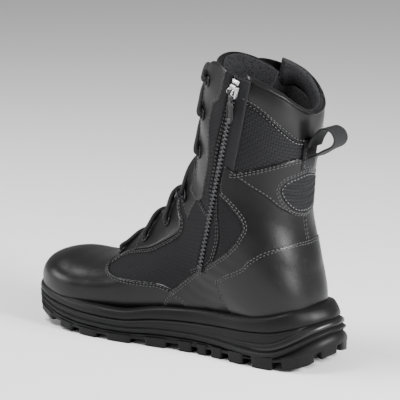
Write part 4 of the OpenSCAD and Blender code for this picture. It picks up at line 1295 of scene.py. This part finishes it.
def liningTube(name, node, v0, v1, a0, a1, d=-3.4, thick=2.0, rows=40, cols=90):
    # A sleeve inside the last from a0 to a1, quilted in shallow bands
    v, a = np.meshgrid(np.linspace(v0, v1, rows), np.linspace(a0, a1, cols), indexing="ij")
    quilt = 0.5 * np.abs(np.sin(v * 4.2)) ** 0.5
    verts, faces = shell(skin(v, a, d), skin(v, a, d - thick + 0.5 - quilt))
    makePiece(name, verts, faces, liningMesh, (node,), uv=shellMap(v, a))


liningTube("lining_shaft_mesh", "lining_shaft", 12.05, 16.4, 0.165, 0.835)
liningTube("lining_heel_mesh", "lining_heel", 8.6, 12.0, 0.14, 0.86, -5.0)
liningTube("lining_waist_mesh", "lining_waist", 5.6, 8.55, 0.085, 0.915, -3.6)
liningTube("lining_toe_mesh", "lining_toe", 1.2, 5.55, -0.42, 0.42, -5.6)


def makeFootbed():
    # Moulded insole: flat under the ball, raised round the heel and arch, seen from the shaft's mouth
    v, a = np.meshgrid(np.linspace(1.6, 10.9, 90), np.linspace(0.40, 0.60, 36), indexing="ij")
    cup = 2.2 * np.abs((a - 0.5) / 0.1) ** 3 * ease((v - 5) / 3)
    top, low = skin(v, a, -13.6), skin(v, a, -9.8)
    top[..., 2] += cup
    verts, faces = shell(low, top)
    makePiece("footbed_insole", verts, faces, footbedCloth, ("footbed",))


makeFootbed()
print("collar, tongue and lining made")

# The zip
zipLook = {"toothLong": 3.9, "toothThick": 1.9, "toothHigh": 1.7, "pitch": 1.85, "ends": 3.0}


def onZip(points):
    # From the zip's own axes (across, out, up its line) to the boot's
    points = np.asarray(points, float)
    return zipFoot + points[..., :1] * zipAcross + points[..., 1:2] * zipOut + points[..., 2:] * zipUp


def roundedBlock(size, centre=(0, 0, 0), bevel=0.3, corner=4):
    # A rounded rectangle in x and y, stacked along z with bevelled ends
    k = circle(corner * 8)
    px, py = squared(k, 0.35)
    half = np.array(size) / 2
    levels = [(-1, 1), (-1 + bevel / half[2], 0), (0, 0), (1 - bevel / half[2], 0), (1, 1)]
    rings = [np.column_stack([px * (half[0] - bevel * cut), py * (half[1] - bevel * cut),
                              np.full(len(k), half[2] * z)]) for z, cut in levels]
    verts, faces = outward(*loft(np.array(rings)))
    return verts + np.array(centre), faces


def makeTape():
    # Two woven tapes rise from the skin to the chain; each has a rolled inner edge that holds the teeth
    parts, maps = [], []
    s = np.linspace(-3, zipRun + 4, 110)
    for side in (-1, 1):
        x = np.array([0.9, 1.5, 3.0, 5.0, 7.5, 9.8, 12.0]) * side
        lift = np.array([-0.9, -0.8, -1.1, -1.9, -3.1, -4.2, -5.0])
        top = onZip(np.stack(np.broadcast_arrays(x[None], lift[None], s[:, None]), -1))
        parts.append(shell(top, top - zipOut * 0.9))
        maps.append(pairs(np.concatenate([x, x[::-1]])[None], s[:, None]))
    verts, faces = join(parts)
    makePiece("zip_tapes", verts, faces, tapeWebbing, ("zip_tape",), uv=np.vstack(maps))


def makeChain():
    # Moulded teeth, each a rounded block, set from the two sides in turn
    size = (zipLook["toothLong"], zipLook["toothThick"], zipLook["toothHigh"])
    block, faces = roundedBlock(size, (1.4, 0, 0), 0.3, corner=2)
    toothed = zipRun - 2 * zipLook["ends"]
    count = int(toothed / zipLook["pitch"])
    s = zipLook["ends"] + (np.arange(count) + 0.5) * toothed / count
    parts = []
    for side in (-1, 1):
        places = s[side > 0::2]
        one = block * [side, 1, 1] - [0.35 * side, 0, 0]
        rows = one[None] + np.stack([0 * places, 0 * places, places], -1)[:, None]
        turned = faces if side > 0 else [f[::-1] for f in faces]
        many = [[i + k * len(one) for i in f] for k in range(len(places)) for f in turned]
        parts.append((onZip(rows).reshape(-1, 3), many))
    verts, faces = join(parts)
    makePiece("zip_teeth", verts, faces, zipTeethMetal, ("zip_chain",), shade=False)


def makeStops():
    top, faces = roundedBlock((8.0, 2.4, 4.0), (0, 0, zipRun - 0.7), 0.45)
    makePiece("zip_stop_top", onZip(top), faces, brightMetal, ("zip_top_stop",))
    low, faces = roundedBlock((7.0, 2.2, 4.6), (0, 0, 0.3), 0.45)
    makePiece("zip_stop_bottom", onZip(low), faces, darkMetal, ("zip_bottom_stop",))


def makeSlider():
    # Slider body: a waisted top plate, two side flanges, a bail and the bar that the puller swings on
    rest = float((pullBar - zipFoot) @ zipUp)
    out = float((pullBar - zipFoot) @ zipOut)
    z = np.linspace(-6, 6, 15)
    wide = 4.3 - 0.55 * np.cos(z / 6 * np.pi) + 0.25 * (z / 6)
    wide *= np.sqrt(np.clip(1 - (np.abs(z) / 6.4) ** 6, 0.2, 1))
    px, py = squared(circle(24), 0.4)
    plate = np.stack([np.column_stack([px * w, 1.95 + py * 0.72, np.full(24, rest + h)])
                      for w, h in zip(wide, z)])
    parts = [outward(*loft(plate))]
    for side in (-1, 1):
        parts.append(roundedBlock((1.0, 2.9, 10.4), (3.85 * side, 0.45, rest), 0.35))
        k2 = np.linspace(0, 1, 16)
        arch = np.stack([np.full(16, side * 2.75), 2.4 + (out - 1.5) * np.sin(np.pi * k2) ** 0.7,
                         rest - 3.0 + 6.0 * k2], -1)
        parts.append(outward(*tube(arch, 1.0, 1.1, 10, np.tile([0, 1.0, 0], (16, 1)))))
    barPath = np.stack([np.linspace(-3.2, 3.2, 5), np.full(5, out), np.full(5, rest)], -1)
    parts.append(outward(*tube(barPath, 1.8, 1.8, 16, np.tile([0, 1.0, 0], (5, 1)))))
    verts, faces = join(parts)
    makePiece("zip_slider_body", onZip(verts), faces, brightMetal, ("zip_slider",),
              body="zip_slider")


def makePuller():
    # The puller hangs plumb: an eye round the bar, a neck, and a tab with a raised rim and a pressed grip
    down = np.array([0, 0, -1.0])
    face = unit(np.cross(zipAcross, down))
    face = face * np.sign(face @ zipOut)
    across = np.cross(face, down)
    k = circle(28)
    rings = [np.column_stack([np.full(28, x), np.cos(k) * r, np.sin(k) * r])
             for x, r in ((-1.7, 1.9), (-1.5, 2.05), (1.5, 2.05), (1.7, 1.9), (1.7, 1.12), (-1.7, 1.12))]
    eye = outward(np.array(rings).reshape(-1, 3), gridFaces(6, 28, loopRows=True, loopCols=True))
    neck = roundedBlock((3.6, 1.6, 7.0), (0, 0, 5.2), 0.4)
    outline = np.stack([np.cos(k), np.sin(k)], -1)
    outline = np.sign(outline) * np.abs(outline) ** 0.55 * [3.7, 9.0]
    profile = [(0.5, -0.45), (0.66, -0.5), (0.72, -0.8), (0.94, -0.8), (1, -0.45)]
    profile += [(size, -y) for size, y in profile[::-1]]
    tabRings = [np.column_stack([outline[:, 0] * size, np.full(28, y), 17.0 + outline[:, 1] * size])
                for size, y in profile]
    tab = outward(*loft(np.array(tabRings)))
    bars = [roundedBlock((3.6, 1.5, 0.9), (0, 0, z), 0.25) for z in (12.5, 14.7, 16.9, 19.1, 21.3)]
    verts, faces = join([eye, neck, tab] + bars)
    placed = pullBar + verts[:, :1] * across + verts[:, 1:2] * face + verts[:, 2:] * down
    verts, faces = outward(placed, faces)
    makePiece("zip_puller_tab", verts, faces, hardPlastic, ("zip_puller",), body="zip_puller")


zipTeethMetal = metal("zipTeethMetal", bootLook["tooth"], 0.4)
makeTape()
makeChain()
makeStops()
makeSlider()
makePuller()


def makeGusset():
    # Bellows behind the zip: a thin nylon flap folded once along its length
    v = np.linspace(9.6, 17.1, 60)
    path = line([[9.5, .25], [10.6, .218], [11.8, .212], [13, .233], [14.5, .251], [16, .263], [17.5, .275]],
                200)
    a = np.interp(v, path[:, 0], path[:, 1])
    x = np.linspace(-1, 1, 16)
    aa = a[:, None] + x[None] * 0.028
    vv = np.repeat(v[:, None], 16, 1)
    d = -1.5 - 0.8 * np.cos(x * np.pi)[None]
    verts, faces = shell(skin(vv, aa, d), skin(vv, aa, d - 0.9))
    makePiece("zip_gusset_flap", verts, faces, ballisticNylon, ("zip_gusset",),
              uv=shellMap(vv, aa))


makeGusset()
print("zip made")

# Eyelets, lace and loop
lowerHoles = [[6.1, .06], [7.45, .086], [8.65, .094]]
speedHoles = [[10, .08]]
upperHoles = [[12.4, .11], [14.3, .128], [16.1, .14]]
laceLook = {"wide": 5.0, "thick": 4.6, "over": 4.9, "under": -1.9}
laceBends = [(2.4, -0.4), (3.8, 1.2), (3.8, 1.2), (1.6, -3.2)]


def mirrorHole(hole, side):
    return (hole[0], hole[1] if side == "medial" else 1 - hole[1])


def frameAt(v, a):
    # Middle, outward, round and up directions on the last
    out = outwardAt(v, a)
    turnWay = slopes(v, a)[1]
    turnWay = unit(turnWay - out * (turnWay @ out))
    return lastAt(v, a), out, turnWay, np.cross(out, turnWay)


def makeEyelets(name, holes, node, lift):
    # Each eyelet is one turned profile: rolled flange, throat, and a turned-out foot under the leather
    profile = [[2.5, -2.2], [2.55, 0.2], [2.7, 0.7], [3.1, 1.05], [3.8, 1.1], [4.5, 0.75], [4.9, 0.2],
               [4.8, -0.15], [3.4, -0.1], [3.05, -0.5], [3.05, -2.2], [3.6, -2.35], [3.6, -2.7], [2.7, -2.7]]
    k = circle(32)
    parts = []
    for side in ("medial", "lateral"):
        for hole in holes:
            middle, out, turnWay, up = frameAt(*mirrorHole(hole, side))
            wheel = np.cos(k)[:, None] * turnWay + np.sin(k)[:, None] * up
            rings = [middle + (out * (z + lift))[None] + r * wheel for r, z in profile]
            parts.append(outward(np.array(rings).reshape(-1, 3), gridFaces(len(profile), 32, True, True)))
    verts, faces = join(parts)
    makePiece(name, verts, faces, darkMetal, (node,))


def placeAt(points, spot):
    # From axes on the last (up, round, outward) to the boot's, about a hole
    middle, out, turnWay, up = spot
    return middle + points[..., :1] * up + points[..., 1:2] * turnWay + points[..., 2:] * out


def makeSpeedLoops():
    # A riveted base plate with an arch of wire that the lace runs under
    parts = []
    k = np.linspace(0, np.pi, 22)
    arch = np.stack([0 * k, np.cos(k) * 6.4, 2.2 + np.sin(k) * 6.0], -1)
    blocks = [roundedBlock((8.0, 14.8, 1.2), (0, 0, 1.8), 0.35)]
    blocks += [roundedBlock((2.6, 2.6, 1.0), (0, end, 2.6), 0.3) for end in (-2.31, 2.31)]
    for side in ("medial", "lateral"):
        spot = frameAt(*mirrorHole(speedHoles[0], side))
        away = placeAt(arch * 1.1, spot) - placeAt(arch, spot)
        parts.append(outward(*tube(placeAt(arch, spot), 2.0, 1.7, 12, away)))
        parts += [outward(placeAt(points, spot), quads) for points, quads in blocks]
    verts, faces = join(parts)
    makePiece("speed_loops_metal", verts, faces, darkMetal, ("speed_loops",))


def makeLace():
    # Each strand comes up through a hole, runs over the eyestay, crosses, and dives under the far eyestay
    holes = lowerHoles + speedHoles + upperHoles
    over, under = laceLook["over"], laceLook["under"]
    parts, maps = [], []
    for strand in (0, 1):
        route = [[5.75, 0.0, -0.2], [5.85, (-1) ** strand * 0.03, -1.0]]
        for i, (v, a) in enumerate(holes):
            a = a * (-1) ** (i + strand)
            below, inside, top = (3.2, 3.9, 3.2) if i == len(lowerHoles) else (under, 1.5, over - 0.6)
            route += [[v, a * 0.98, below], [v + 0.02, a, inside], [v + 0.05, a * 0.93, top]]
            if i == len(holes) - 1:
                route += [[v + 0.12, a * 0.75, 2.6], [v + 0.3, a * 0.45, -0.6], [v + 0.1, a * 0.35, -2.2],
                          [v - 0.4, a * 0.5, -2.4]]
                break
            v2, a2 = holes[i + 1]
            a2 = -a2 * (-1) ** (i + strand)
            # Low over the toe end, highest at the instep, close to the tongue on the shaft
            bend, crossing = laceBends[min(i, 3)]
            crossing += 3.0 * (strand == i % 2)
            route += [[v + 0.2 * (v2 - v), a * 0.6, bend], [(v + v2) / 2, 0.0, crossing],
                      [v + 0.8 * (v2 - v), a2 * 0.45, -0.4], [v2 - 0.02, a2 * 0.8, under]]
        flat = spline(route, np.linspace(0, len(route) - 1, 620))
        path = skin(flat[:, 0], flat[:, 1], flat[:, 2])
        run = runOf(path)
        even = np.linspace(0, run[-1], 520)
        path = spotsAt(even, run, path)
        up = outwardAt(np.interp(even, run, flat[:, 0]), np.interp(even, run, flat[:, 1]))
        parts.append(outward(*tube(path, laceLook["wide"], laceLook["thick"], 12, up)))
        maps.append(pairs(even[:, None], np.linspace(0, 1000, 12, endpoint=False)[None]))
    verts, faces = join(parts)
    makePiece("boot_lace", verts, faces, laceBraid, ("lace",), uv=np.vstack(maps))
    k = circle(16)
    tips = []
    for side in ("medial", "lateral"):
        middle, out, turnWay, up = frameAt(*mirrorHole(upperHoles[-1], side))
        sign = 1 if side == "medial" else -1
        base = middle - turnWay * sign * 7.5 - out * 1.6
        wheel = np.cos(k)[:, None] * turnWay + np.sin(k)[:, None] * out
        rings = [base + up * high + r * wheel
                 for r, high in ((1.2, -4.5), (1.6, -4.2), (1.7, 3.6), (1.5, 4.2), (1.1, 4.5))]
        tips.append(outward(*loft(np.array(rings))))
    verts, faces = join(tips)
    makePiece("lace_aglets", verts, faces, hardPlastic, ("lace_tips",))


makeEyelets("eyelets_lower", lowerHoles, "lower_eyelets", 1.6)
makeEyelets("eyelets_upper", upperHoles, "upper_eyelets", 1.4)
makeSpeedLoops()
makeLace()

hub = np.array(joints["loop_tilt"]["pos_m"], float) / mm
loopPath = [[8.4, 4.6], [9.3, 5.7], [12, 11.5], [17.5, 16.5], [25, 18.6], [32, 16], [35, 10], [32.5, 4.5],
            [25.5, 0.4], [18, -2.4], [10.1, -4.3], [9.0, -3.9]]
loopLook = {"wide": 22.0, "thick": 2.0, "raised": 3.6}


def makeLoop():
    # A flat tape bent through the loop's side line, its selvedges slightly thicker than its middle
    flat = line(loopPath, 110)
    flat[:, 1] += loopLook["raised"] * ease((flat[:, 0] - 9) / 16)
    path = np.column_stack([flat[:, 0], np.zeros(110), flat[:, 1]]) + hub
    run = unit(np.gradient(path, axis=0))
    face = np.cross(run, [0, 1.0, 0])
    far = runOf(path)
    x = np.linspace(-1, 1, 21)
    half = loopLook["wide"] / 2 * (1 - 0.05 * np.sin(np.linspace(0, np.pi, 110)))
    thick = loopLook["thick"] / 2 * (0.8 + 0.3 * np.abs(x) ** 6) * np.sqrt(1 - 0.85 * np.abs(x) ** 14)
    y = np.array([0, 1.0, 0])
    middle = path[:, None] + y * (half[:, None] * x[None])[..., None]
    offset = face[:, None] * thick[None, :, None]
    verts, faces = shell(middle + offset, middle - offset)
    across = np.concatenate([x, x[::-1]]) * loopLook["wide"] / 2
    cloth = pairs(across[None], far[:, None])
    makePiece("heel_pull_loop", verts, faces, tapeWebbing, ("pull_loop",), body="pull_loop",
              uv=cloth)


def makePatch():
    # The loop's sewn foot: a doubled tape on the back seam, box-stitched
    shape = [[[14.72, 0.468], [14.72, 0.532]], [[14.72, 0.532], [15.72, 0.532]],
             [[15.72, 0.532], [15.72, 0.468]],
             [[15.72, 0.468], [14.72, 0.468]]]
    verts, faces, cloth = cutPanel(shapeOf(shape), 3.0, 1.6, 1.1)
    hubRoll = roundedBlock((14.0, 12.0, 17.5), (0, 0, 0), 1.2, corner=6)
    turned = hub + hubRoll[0][:, [0, 2, 1]] * [0.5, 1, 0.7] + [2.0, 0, 0]
    roll = outward(turned, hubRoll[1])
    allVerts, allFaces = join([(verts, faces), roll])
    makePiece("loop_patch_tape", allVerts, allFaces, tapeWebbing, ("loop_patch",),
              uv=np.vstack([cloth, roll[0][:, [1, 2]]]))
    seamBox = [line([[14.8, 0.475], [14.8, 0.525]], 20), line([[14.8, 0.525], [15.64, 0.525]], 20),
            line([[15.64, 0.525], [15.64, 0.475]], 20), line([[15.64, 0.475], [14.8, 0.475]], 20)]
    for side in seamBox:
        stitches(side, 3.05)


makeLoop()
makePatch()
sewAll()
print("eyelets, lace and loop made")

# What stays from the CAD model
hidden = {"toe_cap": hardPlastic, "heel_stiffener": fibreBoard, "lasting_board": fibreBoard,
          "shank": steelShank}
for nodeName, finish in hidden.items():
    node = frame["nodes"][nodeName]
    node.data.materials.clear()
    node.data.materials.append(finish)

# Floor and light
studio = {"paper": (0.86, 0.86, 0.86), "half": 6.0, "sky": 0.38}
# Name, place, what it points at, size and watts
lamps = [("softTop", (-0.5, -0.35, 1.4), (0, 0, 0.1), 0.7, 28),
         ("rightStrip", (1.25, -0.05, 0.7), (0.05, 0, 0.12), 0.45, 46),
         ("leftFill", (-1.4, -0.9, 0.5), (-0.05, 0, 0.08), 0.6, 14)]
floorMesh = bpy.data.meshes.new("floor")
corners = [(x * studio["half"], y * studio["half"], 0) for x, y in ((-1, -1), (1, -1), (1, 1), (-1, 1))]
floorMesh.from_pydata(corners, [], [(0, 1, 2, 3)])
floor = bpy.data.objects.new("floor", floorMesh)
bpy.context.scene.collection.objects.link(floor)
paper = Finish("palePaper", studio["paper"], 0.9)
floorMesh.materials.append(paper.mat)

world = bpy.data.worlds.new("studio")
bpy.context.scene.world = world
world.use_nodes = True
world.node_tree.nodes["Background"].inputs[0].default_value = (1, 1, 1, 1)
world.node_tree.nodes["Background"].inputs[1].default_value = studio["sky"]
for lamp in lamps:
    areaLight(*lamp)
print("floor and lights set")
